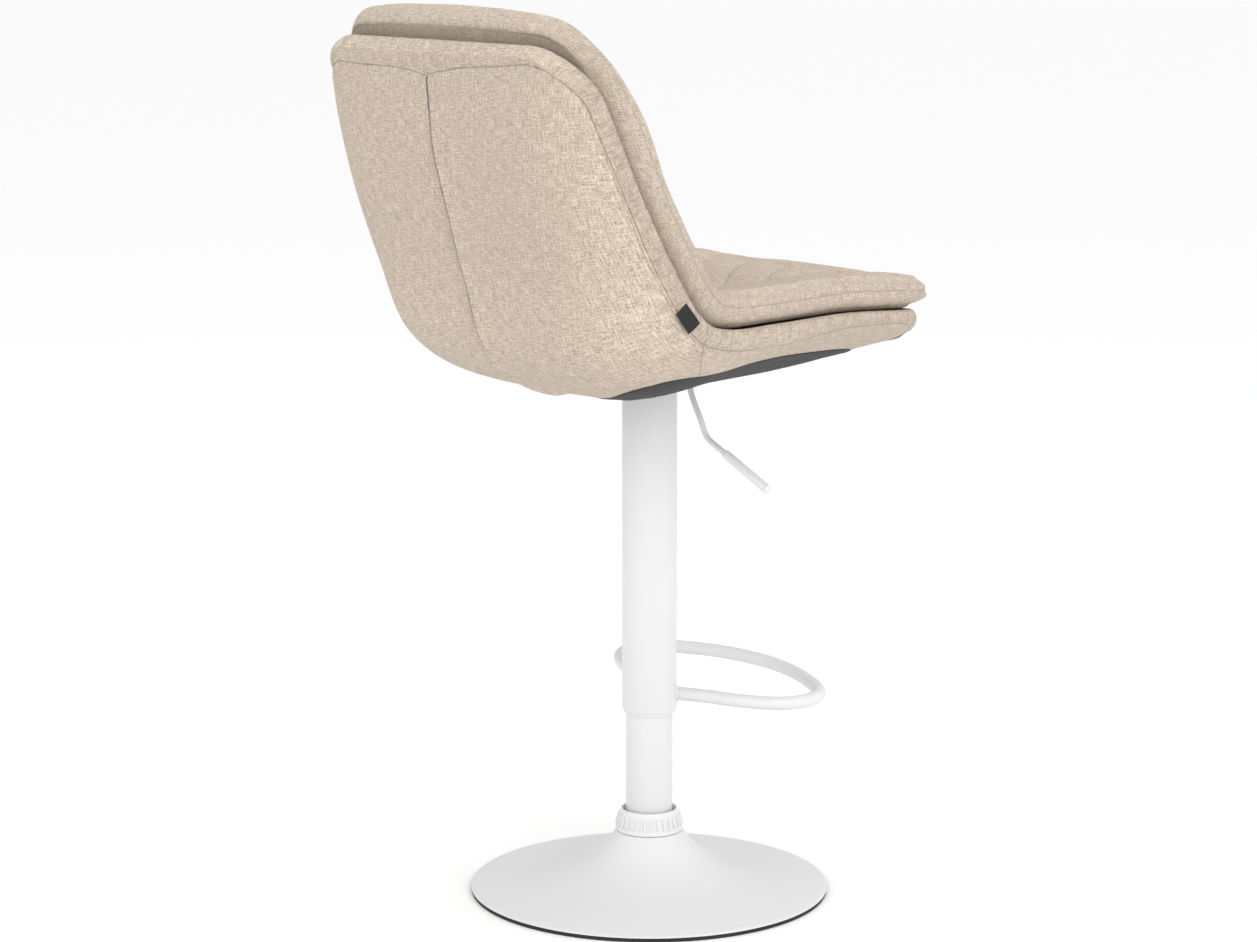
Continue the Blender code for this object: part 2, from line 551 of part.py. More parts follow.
for k, (bx, by) in enumerate(corners):
    n = k + 1
    low = PLATE_Z - GAP
    spread_r = BOLT_R + 0.0060
    reach = (-spread_r, 0, spread_r)
    face = max(board_face(bx + dx, by + dy) for dx in reach for dy in reach)
    face += 0.0014  # over the flats of the board's curve
    pipe(f"seat_bolt_{n}", bx, by, [(0, low - 0.0053), (BOLT_R + 0.0020, low - 0.0053), (BOLT_R + 0.0020, low - 0.0013),
                                    (BOLT_R, low - 0.0013), (BOLT_R, face), (0, face)], steel)
    pipe(f"seat_washer_{n}", bx, by, [(BOLT_R + GAP, low - 0.0010), (BOLT_R + 0.0040, low - 0.0010),
                                      (BOLT_R + 0.0040, low), (BOLT_R + GAP, low)], steel)
    pipe(f"t_nut_{n}", bx, by, [(BOLT_R + GAP, face - 0.0084), (BOLT_R + 0.0015, face - 0.0084),
                                (BOLT_R + 0.0015, face), (BOLT_R + 0.0055, face), (BOLT_R + 0.0055, face + 0.0007),
                                (BOLT_R + GAP, face + 0.0007)], steel)

# ---- lever, its bracket and its grip ----
ear_in, ear_out = LEVER_R + 0.0020, LEVER_R + 0.0042
bracket = box("lever_bracket", (PIVOT_X - 0.0080, -ear_out, LEVER_Z - 0.0065),
              (PIVOT_X + 0.0080, ear_out, PLATE_Z - GAP), steel)
cut(bracket, box("cut_bracket_gap", (PIVOT_X - 0.02, -ear_in, LEVER_Z - 0.02),
                 (PIVOT_X + 0.02, ear_in, LEVER_Z + LEVER_R + 0.0025), helper=True))
cut(bracket, rod("cut_bracket_pin", [(PIVOT_X, -0.02, LEVER_Z), (PIVOT_X, 0.02, LEVER_Z)], PIN_R + 0.0005, None,
                 20, helper=True))
drops = [(0.0045, -0.0035), (0.0000, -0.0130), (-0.0045, -0.0420), (-0.0115, -0.0580), (-0.0220, -0.0750),
         (-0.0295, -0.0890), (-0.0375, -0.0955), (-0.0520, -0.1020), (-0.0650, -0.1075)]
bends = smooth_path([(0.0030, 0, LEVER_Z), (-0.0200, 0, LEVER_Z), (DROP_X + 0.0140, 0, LEVER_Z)]
                    + [(DROP_X + x, 0, LEVER_Z + z) for x, z in drops], 3)
grip_from = Vector((DROP_X - 0.0610, 0, LEVER_Z - 0.1058))
grip_to = Vector((DROP_X - 0.1260, 0, LEVER_Z - 0.1343))
inside = grip_from.lerp(grip_to, 0.5)
lever = rod("lever_rod", bends + [inside], LEVER_R, white, 10)
cut(lever, rod("trunnion", [(PIVOT_X, -ear_out - 0.0021, LEVER_Z), (PIVOT_X, ear_out + 0.0021, LEVER_Z)], PIN_R,
               None, 16, helper=True), "UNION")
grip = rod("lever_grip", [grip_from, grip_from.lerp(grip_to, 0.03), grip_from.lerp(grip_to, 0.97), grip_to],
           GRIP_R, white, 16)
away = (grip_from - grip_to).normalized() * 0.02
cut(grip, rod("cut_grip", [grip_from + away, inside - away * 0.03], LEVER_R + GAP, None, 16, helper=True))

# ---- plain woven label sewn to the edge band on the sitter's right ----
low, high = layer(4.60, -1, 0.15), layer(4.90, -1, 0.15)
across = (layer(4.75, -1, 0.95) - layer(4.75, -1, 0.05)).normalized()
along = (high - low).normalized()
out = along.cross(across).normalized()
if out.x > 0:
    out = -out
middle = layer(4.72, -1, 0.38) + out * 0.0042
bm = bmesh.new()
bmesh.ops.create_cube(bm, size=1.0)
for v in bm.verts:
    v.co = middle + along * (v.co.x * 0.027) + across * (v.co.y * 0.016) + out * (v.co.z * 0.0010)
keep("fabric_label", bm, black)
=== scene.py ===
import math

import bpy
import numpy as np
from mathutils import Matrix, Vector, noise
from mathutils.kdtree import KDTree


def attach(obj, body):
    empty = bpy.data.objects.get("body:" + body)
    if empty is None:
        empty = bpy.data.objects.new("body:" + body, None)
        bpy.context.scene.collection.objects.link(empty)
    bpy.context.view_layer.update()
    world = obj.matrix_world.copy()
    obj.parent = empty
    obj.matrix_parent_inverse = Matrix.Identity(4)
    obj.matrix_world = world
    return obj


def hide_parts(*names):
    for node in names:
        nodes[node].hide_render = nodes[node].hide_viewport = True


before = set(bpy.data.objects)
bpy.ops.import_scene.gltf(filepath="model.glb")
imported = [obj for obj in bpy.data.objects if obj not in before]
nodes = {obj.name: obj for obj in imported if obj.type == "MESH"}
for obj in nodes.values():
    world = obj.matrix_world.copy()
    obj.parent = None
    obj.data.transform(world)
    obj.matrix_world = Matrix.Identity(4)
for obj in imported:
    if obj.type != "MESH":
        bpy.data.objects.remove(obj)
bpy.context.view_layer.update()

print("frame loaded:", len(nodes), "nodes")


# camera, light and floor

studio = {
    "eye": (-2.667, 2.267, 1.083), "pitch": 79.875, "heading": 230.0, "lens": 96.1,
    "floorSize": 80.0, "floorColour": (0.97, 0.97, 0.97),
    "worldStrength": 1.0, "worldLean": (-0.381, 0.061, 0.0),
    # name, place, aim, size, power
    "lights": (("keyLight", (-3.2, 1.2, 2.6), (0, 0, 0.5), 2.4, 26),
               ("backLight", (1.5, 3.4, 2.4), (0, 0, 0.6), 2.4, 16),
               ("topLight", (0.2, -0.6, 3.4), (0, 0, 0.4), 2.6, 10)),
}


def addLight(name, place, aim, size, power):
    bpy.ops.object.light_add(type="AREA", location=place)
    light = bpy.context.object
    light.name = name
    light.data.shape = "DISK"
    light.data.size = size
    light.data.energy = power
    light.rotation_euler = (Vector(aim) - Vector(place)).to_track_quat("-Z", "Y").to_euler()


def buildStudio(given):
    bpy.ops.object.select_all(action="DESELECT")
    bpy.ops.object.camera_add(location=given["eye"],
                              rotation=(math.radians(given["pitch"]), 0, math.radians(given["heading"])))
    camera = bpy.context.object
    camera.data.lens = given["lens"]
    camera.data.sensor_width = 36
    camera.data.clip_end = 200
    bpy.context.scene.camera = camera
    bpy.context.scene.view_settings.view_transform = "Standard"
    world = bpy.data.worlds.new("studioWorld")
    bpy.context.scene.world = world
    world.use_nodes = True
    tree = world.node_tree
    back = tree.nodes["Background"]
    back.inputs["Color"].default_value = (1, 1, 1, 1)
    # a little brighter from one side, so that round things show their shape
    place = tree.nodes.new("ShaderNodeTexCoord")
    lean = tree.nodes.new("ShaderNodeVectorMath")
    lean.operation = "DOT_PRODUCT"
    lean.inputs[1].default_value = given["worldLean"]
    tree.links.new(place.outputs["Generated"], lean.inputs[0])
    level = tree.nodes.new("ShaderNodeMath")
    level.operation = "MULTIPLY_ADD"
    level.inputs[1].default_value = level.inputs[2].default_value = given["worldStrength"]
    tree.links.new(lean.outputs["Value"], level.inputs[0])
    tree.links.new(level.outputs[0], back.inputs["Strength"])
    for light in given["lights"]:
        addLight(*light)
    bpy.ops.mesh.primitive_plane_add(size=given["floorSize"], location=(0, 0, 0))
    floor = bpy.context.object
    floor.name = "studioFloor"
    floor.data.materials.append(plainMaterial("floorPaper", given["floorColour"], 0.9))


# shader helpers and the groups that several finishes share


def newMaterial(name):
    made = bpy.data.materials.new(name)
    made.use_nodes = True
    tree = made.node_tree
    return made, tree, tree.nodes["Principled BSDF"]


def plainMaterial(name, colour, rough):
    made, tree, shader = newMaterial(name)
    shader.inputs["Base Color"].default_value = (*colour, 1)
    shader.inputs["Roughness"].default_value = rough
    return made


def addNode(tree, kind, **settings):
    node = tree.nodes.new(kind)
    for key, value in settings.items():
        if isinstance(value, dict):
            for socket, content in value.items():
                node.inputs[socket].default_value = content
        else:
            setattr(node, key, value)
    return node


def maths(tree, operation, first, second=None, third=None, clamp=False):
    node = tree.nodes.new("ShaderNodeMath")
    node.operation = operation
    node.use_clamp = clamp
    for index, value in enumerate((first, second, third)):
        if value is None:
            continue
        if isinstance(value, (int, float)):
            node.inputs[index].default_value = value
        else:
            tree.links.new(value, node.inputs[index])
    return node.outputs[0]


def remap(tree, value, low, high, toLow=0.0, toHigh=1.0, smooth=False):
    node = addNode(tree, "ShaderNodeMapRange", interpolation_type="SMOOTHSTEP" if smooth else "LINEAR")
    node.inputs["From Min"].default_value = low
    node.inputs["From Max"].default_value = high
    node.inputs["To Min"].default_value = toLow
    node.inputs["To Max"].default_value = toHigh
    tree.links.new(value, node.inputs["Value"])
    return node.outputs["Result"]


def mixColour(tree, factor, first, second, blend="MIX"):
    node = addNode(tree, "ShaderNodeMix", data_type="RGBA", blend_type=blend)
    for index, value in ((0, factor), (6, first), (7, second)):
        if isinstance(value, (int, float)):
            node.inputs[index].default_value = value
        elif isinstance(value, tuple):
            node.inputs[index].default_value = (*value, 1) if len(value) == 3 else value
        else:
            tree.links.new(value, node.inputs[index])
    return node.outputs[2]


def newGroup(name, inputs, outputs):
    group = bpy.data.node_groups.new(name, "ShaderNodeTree")
    for label, kind, value in inputs:
        socket = group.interface.new_socket(name=label, in_out="INPUT", socket_type="NodeSocket" + kind)
        if value is not None:
            socket.default_value = value
    for label, kind in outputs:
        group.interface.new_socket(name=label, in_out="OUTPUT", socket_type="NodeSocket" + kind)
    return group, addNode(group, "NodeGroupInput"), addNode(group, "NodeGroupOutput")


def useGroup(tree, group, **values):
    node = tree.nodes.new("ShaderNodeGroup")
    node.node_tree = group
    for label, value in values.items():
        socket = node.inputs[label]
        if isinstance(value, (int, float, tuple)):
            socket.default_value = value
        else:
            tree.links.new(value, socket)
    return node


def makeWeaveGroup():
    # a plain linen weave in metres: crossing threads, thick slubs along both of them and a fine grain
    group, given, out = newGroup(
        "linenWeave", (("Place", "Vector", None), ("Pitch", "Float", 0.001), ("Slub", "Float", 1.0)),
        (("Tone", "Float"), ("Height", "Float")))
    place, pitch = given.outputs["Place"], given.outputs["Pitch"]
    wander = addNode(group, "ShaderNodeTexNoise", noise_dimensions="2D")
    wander.inputs["Scale"].default_value = 55
    group.links.new(place, wander.inputs["Vector"])
    split = addNode(group, "ShaderNodeSeparateXYZ")
    group.links.new(place, split.inputs[0])
    wanderBy = maths(group, "MULTIPLY", maths(group, "SUBTRACT", wander.outputs["Fac"], 0.5), 0.004)
    waves = []
    for axis in (0, 1):
        shifted = maths(group, "ADD", split.outputs[axis], wanderBy)
        phase = maths(group, "MULTIPLY", maths(group, "DIVIDE", shifted, pitch), math.pi)
        waves.append(maths(group, "SINE", phase))
    crossing = maths(group, "MULTIPLY", maths(group, "MULTIPLY", waves[0], waves[1]), 1.25)
    crossing = maths(group, "MINIMUM", maths(group, "MAXIMUM", crossing, -0.5), 0.5)
    warp = maths(group, "MULTIPLY", maths(group, "ABSOLUTE", waves[0]), maths(group, "ADD", crossing, 0.5))
    weft = maths(group, "MULTIPLY", maths(group, "ABSOLUTE", waves[1]), maths(group, "SUBTRACT", 0.5, crossing))
    threads = maths(group, "MAXIMUM", warp, weft)
    slubs = None
    bright = None
    for stretch in ((950, 90, 1), (90, 950, 1)):
        scaled = addNode(group, "ShaderNodeVectorMath", operation="MULTIPLY")
        scaled.inputs[1].default_value = stretch
        group.links.new(place, scaled.inputs[0])
        streak = addNode(group, "ShaderNodeTexNoise", noise_dimensions="2D")
        streak.inputs["Scale"].default_value = 1.0
        streak.inputs["Detail"].default_value = 1.5
        group.links.new(scaled.outputs[0], streak.inputs["Vector"])
        value = maths(group, "SUBTRACT", streak.outputs["Fac"], 0.5)
        slubs = value if slubs is None else maths(group, "ADD", slubs, value)
        shine = remap(group, streak.outputs["Fac"], 0.62, 0.74, 0.0, 0.18)
        bright = shine if bright is None else maths(group, "MAXIMUM", bright, shine)
    grain = addNode(group, "ShaderNodeTexNoise", noise_dimensions="2D")
    grain.inputs["Scale"].default_value = 760
    grain.inputs["Detail"].default_value = 2.0
    grain.inputs["Roughness"].default_value = 0.7
    group.links.new(place, grain.inputs["Vector"])
    slubs = maths(group, "MULTIPLY", slubs, given.outputs["Slub"])
    speckle = maths(group, "MULTIPLY", maths(group, "SUBTRACT", grain.outputs["Fac"], 0.5), 1.5)
    speckle = maths(group, "ADD", speckle, bright)
    tone = maths(group, "ADD", maths(group, "MULTIPLY_ADD", threads, 0.24, 0.47), maths(group, "ADD", slubs, speckle))
    group.links.new(maths(group, "MINIMUM", maths(group, "MAXIMUM", tone, 0.0), 1.0), out.inputs["Tone"])
    group.links.new(maths(group, "ADD", threads, maths(group, "ADD", slubs, speckle)), out.inputs["Height"])
    return group


def makeSeamGroup():
    # a sewn line: a thread-thin line of painted shade where the cloth runs into the seam, and the dip of the cloth
    # towards it
    group, given, out = newGroup(
        "sewnSeam", (("Distance", "Float", 1.0), ("Gap", "Float", 0.0008), ("Dip", "Float", 0.006)),
        (("Line", "Float"), ("Height", "Float")))
    away = maths(group, "ABSOLUTE", given.outputs["Distance"])
    line = maths(group, "SUBTRACT", 1.0, maths(group, "DIVIDE", away, given.outputs["Gap"]), clamp=True)
    dip = maths(group, "DIVIDE", away, given.outputs["Dip"], clamp=True)
    group.links.new(maths(group, "POWER", line, 0.6), out.inputs["Line"])
    group.links.new(maths(group, "POWER", dip, 0.5), out.inputs["Height"])
    return group


def makeGrainGroup():
    # fine unevenness of a sprayed, moulded or machined surface, on object coordinates
    group, given, out = newGroup(
        "surfaceGrain", (("Scale", "Float", 800.0), ("Stretch", "Vector", (1, 1, 1)), ("Dust", "Float", 0.2)),
        (("Fine", "Float"), ("Cloud", "Float")))
    place = addNode(group, "ShaderNodeTexCoord")
    scaled = addNode(group, "ShaderNodeVectorMath", operation="MULTIPLY")
    group.links.new(place.outputs["Object"], scaled.inputs[0])
    group.links.new(given.outputs["Stretch"], scaled.inputs[1])
    fine = addNode(group, "ShaderNodeTexNoise")
    fine.inputs["Detail"].default_value = 3
    group.links.new(scaled.outputs[0], fine.inputs["Vector"])
    group.links.new(given.outputs["Scale"], fine.inputs["Scale"])
    cloud = addNode(group, "ShaderNodeTexNoise")
    cloud.inputs["Scale"].default_value = 14
    cloud.inputs["Detail"].default_value = 4
    group.links.new(place.outputs["Object"], cloud.inputs["Vector"])
    group.links.new(fine.outputs["Fac"], out.inputs["Fine"])
    swing = maths(group, "SUBTRACT", cloud.outputs["Fac"], 0.5)
    group.links.new(maths(group, "MULTIPLY", swing, given.outputs["Dust"]), out.inputs["Cloud"])
    return group


weave = makeWeaveGroup()
seam = makeSeamGroup()
surfaceGrain = makeGrainGroup()

# gap is the colour of the painted shade in seam lines, in the crack between shell and pad and in quilt lines;
# crackShade and quiltShade set how strong it is, puckerShade how strongly the pucker hollows take the dark colour as
# painted shade
linenFinish = {
    "light": (0.93, 0.785, 0.635), "dark": (0.29, 0.215, 0.16), "gap": (0.085, 0.065, 0.05), 
    "patch": (0.62, 0.50, 0.37), "crackShade": 0.88, "puckerStretch": (390, 34, 1), "puckerDepth": 0.0042,
    "puckerShade": 1.1, "quiltGap": 0.0008, "quiltDip": 0.008, "quiltShade": 0.30, "quiltDepth": 0.0012,
    "pitch": 0.00125, "slub": 0.80, "weaveBump": 0.0006, "roughness": 0.93, "sheen": 0.25,
}


def makeLinen(name, seams, gather=False, quilt=None):
    # seams: attribute and component with the distance to a sewn line, its width, its dip's width and depth, and how
    # strongly its line is darkened with painted shade
    given = linenFinish
    made, tree, shader = newMaterial(name)
    uv = addNode(tree, "ShaderNodeUVMap", uv_map="cloth")
    cloth = useGroup(tree, weave, Place=uv.outputs[0], Pitch=given["pitch"], Slub=given["slub"])
    colour = mixColour(tree, cloth.outputs["Tone"], given["dark"], given["light"])
    place = addNode(tree, "ShaderNodeTexCoord")
    patch = addNode(tree, "ShaderNodeTexNoise")
    patch.inputs["Scale"].default_value = 9
    tree.links.new(place.outputs["Object"], patch.inputs["Vector"])
    colour = mixColour(tree, remap(tree, patch.outputs["Fac"], 0.3, 0.7, 0.0, 0.10), colour, given["patch"])
    height = maths(tree, "MULTIPLY", cloth.outputs["Height"], given["weaveBump"])
    for attribute, axis, gap, dip, depth, shade in seams:
        field = addNode(tree, "ShaderNodeAttribute", attribute_name=attribute)
        split = addNode(tree, "ShaderNodeSeparateXYZ")
        tree.links.new(field.outputs["Vector"], split.inputs[0])
        sewn = useGroup(tree, seam, Distance=split.outputs[axis], Gap=gap, Dip=dip)
        # painted shade: each seam's line is mixed towards the gap colour
        colour = mixColour(tree, maths(tree, "MULTIPLY", sewn.outputs["Line"], shade), colour, given["gap"])
        height = maths(tree, "ADD", height, maths(tree, "MULTIPLY", sewn.outputs["Height"], depth))
    # painted shade: the cloth is darkened where it runs into the crack between shell and pad
    field = addNode(tree, "ShaderNodeAttribute", attribute_name="crack")
    colour = mixColour(tree, maths(tree, "MULTIPLY", field.outputs["Fac"], given["crackShade"]), colour, given["gap"])
    if gather:
        # small puckers across the edge band, held by the seam
        field = addNode(tree, "ShaderNodeAttribute", attribute_name="gather")
        stretch = addNode(tree, "ShaderNodeVectorMath", operation="MULTIPLY")
        stretch.inputs[1].default_value = given["puckerStretch"]
        tree.links.new(uv.outputs[0], stretch.inputs[0])
        pucker = addNode(tree, "ShaderNodeTexNoise", noise_dimensions="2D")
        pucker.inputs["Scale"].default_value = 1.0
        pucker.inputs["Detail"].default_value = 1.0
        tree.links.new(stretch.outputs[0], pucker.inputs["Vector"])
        wave = maths(tree, "MULTIPLY", maths(tree, "SUBTRACT", pucker.outputs["Fac"], 0.5), field.outputs["Fac"])
        height = maths(tree, "ADD", height, maths(tree, "MULTIPLY", wave, given["puckerDepth"]))
        # painted shade: the hollows of the puckers are mixed towards the dark weave colour
        hollow = maths(tree, "MULTIPLY", maths(tree, "SUBTRACT", 0.0, wave), given["puckerShade"], clamp=True)
        colour = mixColour(tree, hollow, colour, given["dark"])
    if quilt:
        field = addNode(tree, "ShaderNodeAttribute", attribute_name="quilt")
        split = addNode(tree, "ShaderNodeSeparateXYZ")
        tree.links.new(field.outputs["Vector"], split.inputs[0])
        lines = []
        for axis in (0, 1):
            fraction = maths(tree, "FRACT", split.outputs[axis])
            near = maths(tree, "MINIMUM", fraction, maths(tree, "SUBTRACT", 1.0, fraction))
            lines.append(maths(tree, "MULTIPLY", near, quilt["spacing"]))
        sewn = useGroup(tree, seam, Distance=maths(tree, "MINIMUM", lines[0], lines[1]), Gap=given["quiltGap"],
                        Dip=given["quiltDip"])
        inside = split.outputs[2]
        # painted shade along the quilting lines, inside the quilted panel
        line = maths(tree, "MULTIPLY", sewn.outputs["Line"], given["quiltShade"])
        colour = mixColour(tree, maths(tree, "MULTIPLY", line, inside), colour, given["gap"])
        rise = maths(tree, "MULTIPLY", sewn.outputs["Height"], given["quiltDepth"])
        height = maths(tree, "ADD", height, maths(tree, "MULTIPLY", rise, inside))
    bump = addNode(tree, "ShaderNodeBump")
    bump.inputs["Distance"].default_value = 1.0
    bump.inputs["Strength"].default_value = 1.0
    tree.links.new(height, bump.inputs["Height"])
    tree.links.new(bump.outputs[0], shader.inputs["Normal"])
    tree.links.new(colour, shader.inputs["Base Color"])
    shader.inputs["Roughness"].default_value = given["roughness"]
    shader.inputs["Sheen Weight"].default_value = given["sheen"]
    shader.inputs["Sheen Roughness"].default_value = 0.5
    shader.inputs["Specular IOR Level"].default_value = 0.25
    return made


def makeSurface(name, colour, shade, rough, scale, bump, metallic=0.0, stretch=(1, 1, 1), dust=0.3, roughSwing=0.15,
                wear=None):
    # paint, plastic, rubber, metal and wood: two tones of one colour, a fine bump, uneven gloss
    made, tree, shader = newMaterial(name)
    grain = useGroup(tree, surfaceGrain, Scale=scale, Stretch=stretch, Dust=dust)
    fine = maths(tree, "MULTIPLY", grain.outputs["Fine"], 0.6)
    tone = maths(tree, "ADD", fine, maths(tree, "ADD", grain.outputs["Cloud"], 0.2), clamp=True)
    mixed = mixColour(tree, tone, shade, colour)
    if wear:
        edge = addNode(tree, "ShaderNodeNewGeometry")
        worn = remap(tree, edge.outputs["Pointiness"], 0.52, 0.62)
        mixed = mixColour(tree, maths(tree, "MULTIPLY", worn, 0.35), mixed, wear)
    tree.links.new(mixed, shader.inputs["Base Color"])
    swing = maths(tree, "ADD", maths(tree, "MULTIPLY", grain.outputs["Fine"], roughSwing), grain.outputs["Cloud"])
    tree.links.new(maths(tree, "ADD", swing, rough - roughSwing / 2, clamp=True), shader.inputs["Roughness"])
    shader.inputs["Metallic"].default_value = metallic
    node = addNode(tree, "ShaderNodeBump")
    node.inputs["Distance"].default_value = bump
    node.inputs["Strength"].default_value = 0.6
    tree.links.new(grain.outputs["Fine"], node.inputs["Height"])
    tree.links.new(node.outputs[0], shader.inputs["Normal"])
    return made


def makeRibbedCloth(name, colour, light, pitch, along):
    # black furnishing cloth with woven ribs
    made, tree, shader = newMaterial(name)
    place = addNode(tree, "ShaderNodeTexCoord")
    split = addNode(tree, "ShaderNodeSeparateXYZ")
    tree.links.new(place.outputs["Object"], split.inputs[0])
    drift = addNode(tree, "ShaderNodeTexNoise")
    drift.inputs["Scale"].default_value = 45
    tree.links.new(place.outputs["Object"], drift.inputs["Vector"])
    moved = maths(tree, "ADD", split.outputs[along], maths(tree, "MULTIPLY", drift.outputs["Fac"], 0.0022))
    ribs = maths(tree, "SINE", maths(tree, "MULTIPLY", moved, 2 * math.pi / pitch))
    ribs = maths(tree, "MULTIPLY_ADD", ribs, 0.5, 0.5)
    grain = useGroup(tree, surfaceGrain, Scale=1500.0, Stretch=(1, 1, 1), Dust=0.3)
    tone = maths(tree, "MULTIPLY", ribs, maths(tree, "MULTIPLY_ADD", grain.outputs["Fine"], 1.1, 0.2), clamp=True)
    tree.links.new(mixColour(tree, tone, colour, light), shader.inputs["Base Color"])
    shader.inputs["Roughness"].default_value = 0.85
    shader.inputs["Sheen Weight"].default_value = 0.1
    bump = addNode(tree, "ShaderNodeBump")
    bump.inputs["Distance"].default_value = 0.0006
    tree.links.new(ribs, bump.inputs["Height"])
    tree.links.new(bump.outputs[0], shader.inputs["Normal"])
    return made


def makePlywood():
    made, tree, shader = newMaterial("beechPlywood")
    place = addNode(tree, "ShaderNodeTexCoord")
    turn = addNode(tree, "ShaderNodeMapping")
    turn.inputs["Scale"].default_value = (60, 3, 60)
    tree.links.new(place.outputs["Object"], turn.inputs["Vector"])
    figure = addNode(tree, "ShaderNodeTexNoise")
    figure.inputs["Scale"].default_value = 1.5
    figure.inputs["Detail"].default_value = 6
    figure.inputs["Distortion"].default_value = 0.6
    tree.links.new(turn.outputs[0], figure.inputs["Vector"])
    wood = mixColour(tree, figure.outputs["Fac"], (0.42, 0.26, 0.13), (0.74, 0.55, 0.34))
    tree.links.new(wood, shader.inputs["Base Color"])
    shader.inputs["Roughness"].default_value = 0.6
    bump = addNode(tree, "ShaderNodeBump")
    bump.inputs["Distance"].default_value = 0.0004
    tree.links.new(figure.outputs["Fac"], bump.inputs["Height"])
    tree.links.new(bump.outputs[0], shader.inputs["Normal"])
    return made


finishes = {
    "paint": makeSurface("whitePowderCoat", (0.75, 0.75, 0.75), (0.69, 0.69, 0.695), 0.36, 900, 0.00012, dust=0.10),
    "plastic": makeSurface("whitePlastic", (0.77, 0.77, 0.77), (0.71, 0.71, 0.715), 0.45, 1600, 0.00008, dust=0.15),
    "blackPlastic": makeSurface("blackPlastic", (0.035, 0.035, 0.037), (0.016, 0.016, 0.017), 0.5, 1100, 0.0002,
                                wear=(0.12, 0.12, 0.12)),
    "rubber": makeSurface("blackRubber", (0.03, 0.03, 0.03), (0.010, 0.010, 0.011), 0.82, 700, 0.0003, dust=0.5),
    "castIron": makeSurface("castIron", (0.13, 0.125, 0.12), (0.05, 0.048, 0.046), 0.65, 420, 0.0008, metallic=0.6,
                            dust=0.5, wear=(0.3, 0.28, 0.26)),
    "zinc": makeSurface("zincPlatedSteel", (0.62, 0.61, 0.58), (0.40, 0.39, 0.38), 0.34, 500, 0.00015, metallic=1.0,
                        stretch=(1, 1, 6), dust=0.5, wear=(0.8, 0.8, 0.78)),
    "polished": makeSurface("polishedRod", (0.72, 0.72, 0.73), (0.58, 0.58, 0.60), 0.16, 900, 0.00005, metallic=1.0,
                            stretch=(1, 1, 12), dust=0.1, roughSwing=0.08),
    "cylinder": makeSurface("blackenedCylinder", (0.045, 0.045, 0.047), (0.02, 0.02, 0.022), 0.35, 800, 0.00008,
                            metallic=0.4, dust=0.2, wear=(0.4, 0.4, 0.4)),
    "plywood": makePlywood(),
    "ribbed": makeRibbedCloth("blackRibbedCloth", (0.002, 0.002, 0.003), (0.030, 0.030, 0.033), 0.0024, 1),
    "label": makeRibbedCloth("blackLabelCloth", (0.004, 0.004, 0.004), (0.022, 0.022, 0.024), 0.0006, 2),
}
buildStudio(studio)
print("finishes and studio ready")


# the curved bowl that all the upholstery follows, at stations from the top of the back to the front of the seat;
# forward and height in mm: outer face centre, outer face side, half width, how late the sides turn up,
# board face centre, board face side, pad front centre, pad front side
bowlStations = np.array([
    (-292, 960, -287, 958, 192, 7.0, -281, 966, -268, 960, -240, 970, -240, 953),
    (-291, 903, -265, 903, 198, 7.5, -270, 908, -245, 909, -230, 916, -209, 905),
    (-283, 835, -238, 838, 207, 8.0, -252, 841, -219, 846, -211, 850, -175, 848),
    (-263, 757, -205, 765, 213, 8.0, -226, 766, -189, 775, -185, 780, -149, 783),
    (-240, 680, -170, 700, 213, 7.0, -199, 692, -151, 708, -158, 714, -118, 724),
    (-211, 603, -124, 638, 212, 6.0, -162, 636, -111, 653, -126, 680, -95, 688),
    (-142, 560, -80, 617, 211, 4.2, -92, 620, -72, 638, -80, 663, -71, 673),
    (-20, 551, 0, 615, 207, 2.0, -8, 619.5, 0, 638, 0, 661, 0, 671),
    (100, 559, 95, 623, 203, 2.2, 98, 619, 95, 640, 98, 665, 96, 673),
    (205, 577, 190, 621, 198, 3.0, 203, 621, 192, 635, 208, 658, 200, 666),
    (275, 588, 266, 624, 195, 3.4, 274, 627, 266, 637, 278, 652, 272, 659)], float)


def refineStations(stations, steps=2000):
    # a smooth curve through the stations, once, so that every later lookup is a plain interpolation
    last = len(stations) - 1
    places = np.linspace(0, last, steps + 1)
    index = np.minimum(places.astype(int), last - 1)
    t = (places - index)[:, None]
    padded = np.vstack([2 * stations[0] - stations[1], stations, 2 * stations[-1] - stations[-2]])
    a, b, c, d = (padded[index + k] for k in range(4))
    return places, 0.5 * (2 * b + (c - a) * t + (2 * a - 5 * b + 4 * c - d) * t * t + (3 * b - a - 3 * c + d) * t ** 3)


finePlaces, fineStations = refineStations(bowlStations)


def stationAt(u):
    return np.stack([np.interp(u, finePlaces, fineStations[:, k]) for k in range(14)], axis=-1)


def bowl(u, v, depth):
    # u runs along the bowl, v across it in -1..1; depth 0 is the outer face, 1 the board face, 2 the pad front
    row = stationAt(u)
    faces = []
    for start, power in ((0, row[..., 5]), (6, 2.6), (10, 3.2)):
        rise = (np.minimum(np.abs(v), 1.15) ** power)[..., None]
        faces.append(row[..., start:start + 2] * (1 - rise) + row[..., start + 2:start + 4] * rise)
    # the half width sits between the first pair of faces and the second
    d = np.broadcast_to(depth, np.shape(u))[..., None]
    flat = np.where(d < 1, faces[0] * (1 - d) + faces[1] * d, faces[1] * (2 - d) + faces[2] * (d - 1))
    return np.stack([v * row[..., 4], -flat[..., 0], flat[..., 1]], axis=-1) / 1000


def measureLength():
    points = bowl(finePlaces, np.full(finePlaces.shape, 0.5), 1.0)
    return np.concatenate([[0], np.cumsum(np.linalg.norm(np.diff(points, axis=0), axis=1))])


fineLengths = measureLength()


def atLength(distance):
    return np.interp(distance, fineLengths, finePlaces)


def lengthAt(u):
    return float(np.interp(u, finePlaces, fineLengths))


def thicknessAt(u, v, low, high):
    return np.linalg.norm(bowl(u, v, high) - bowl(u, v, low), axis=-1)


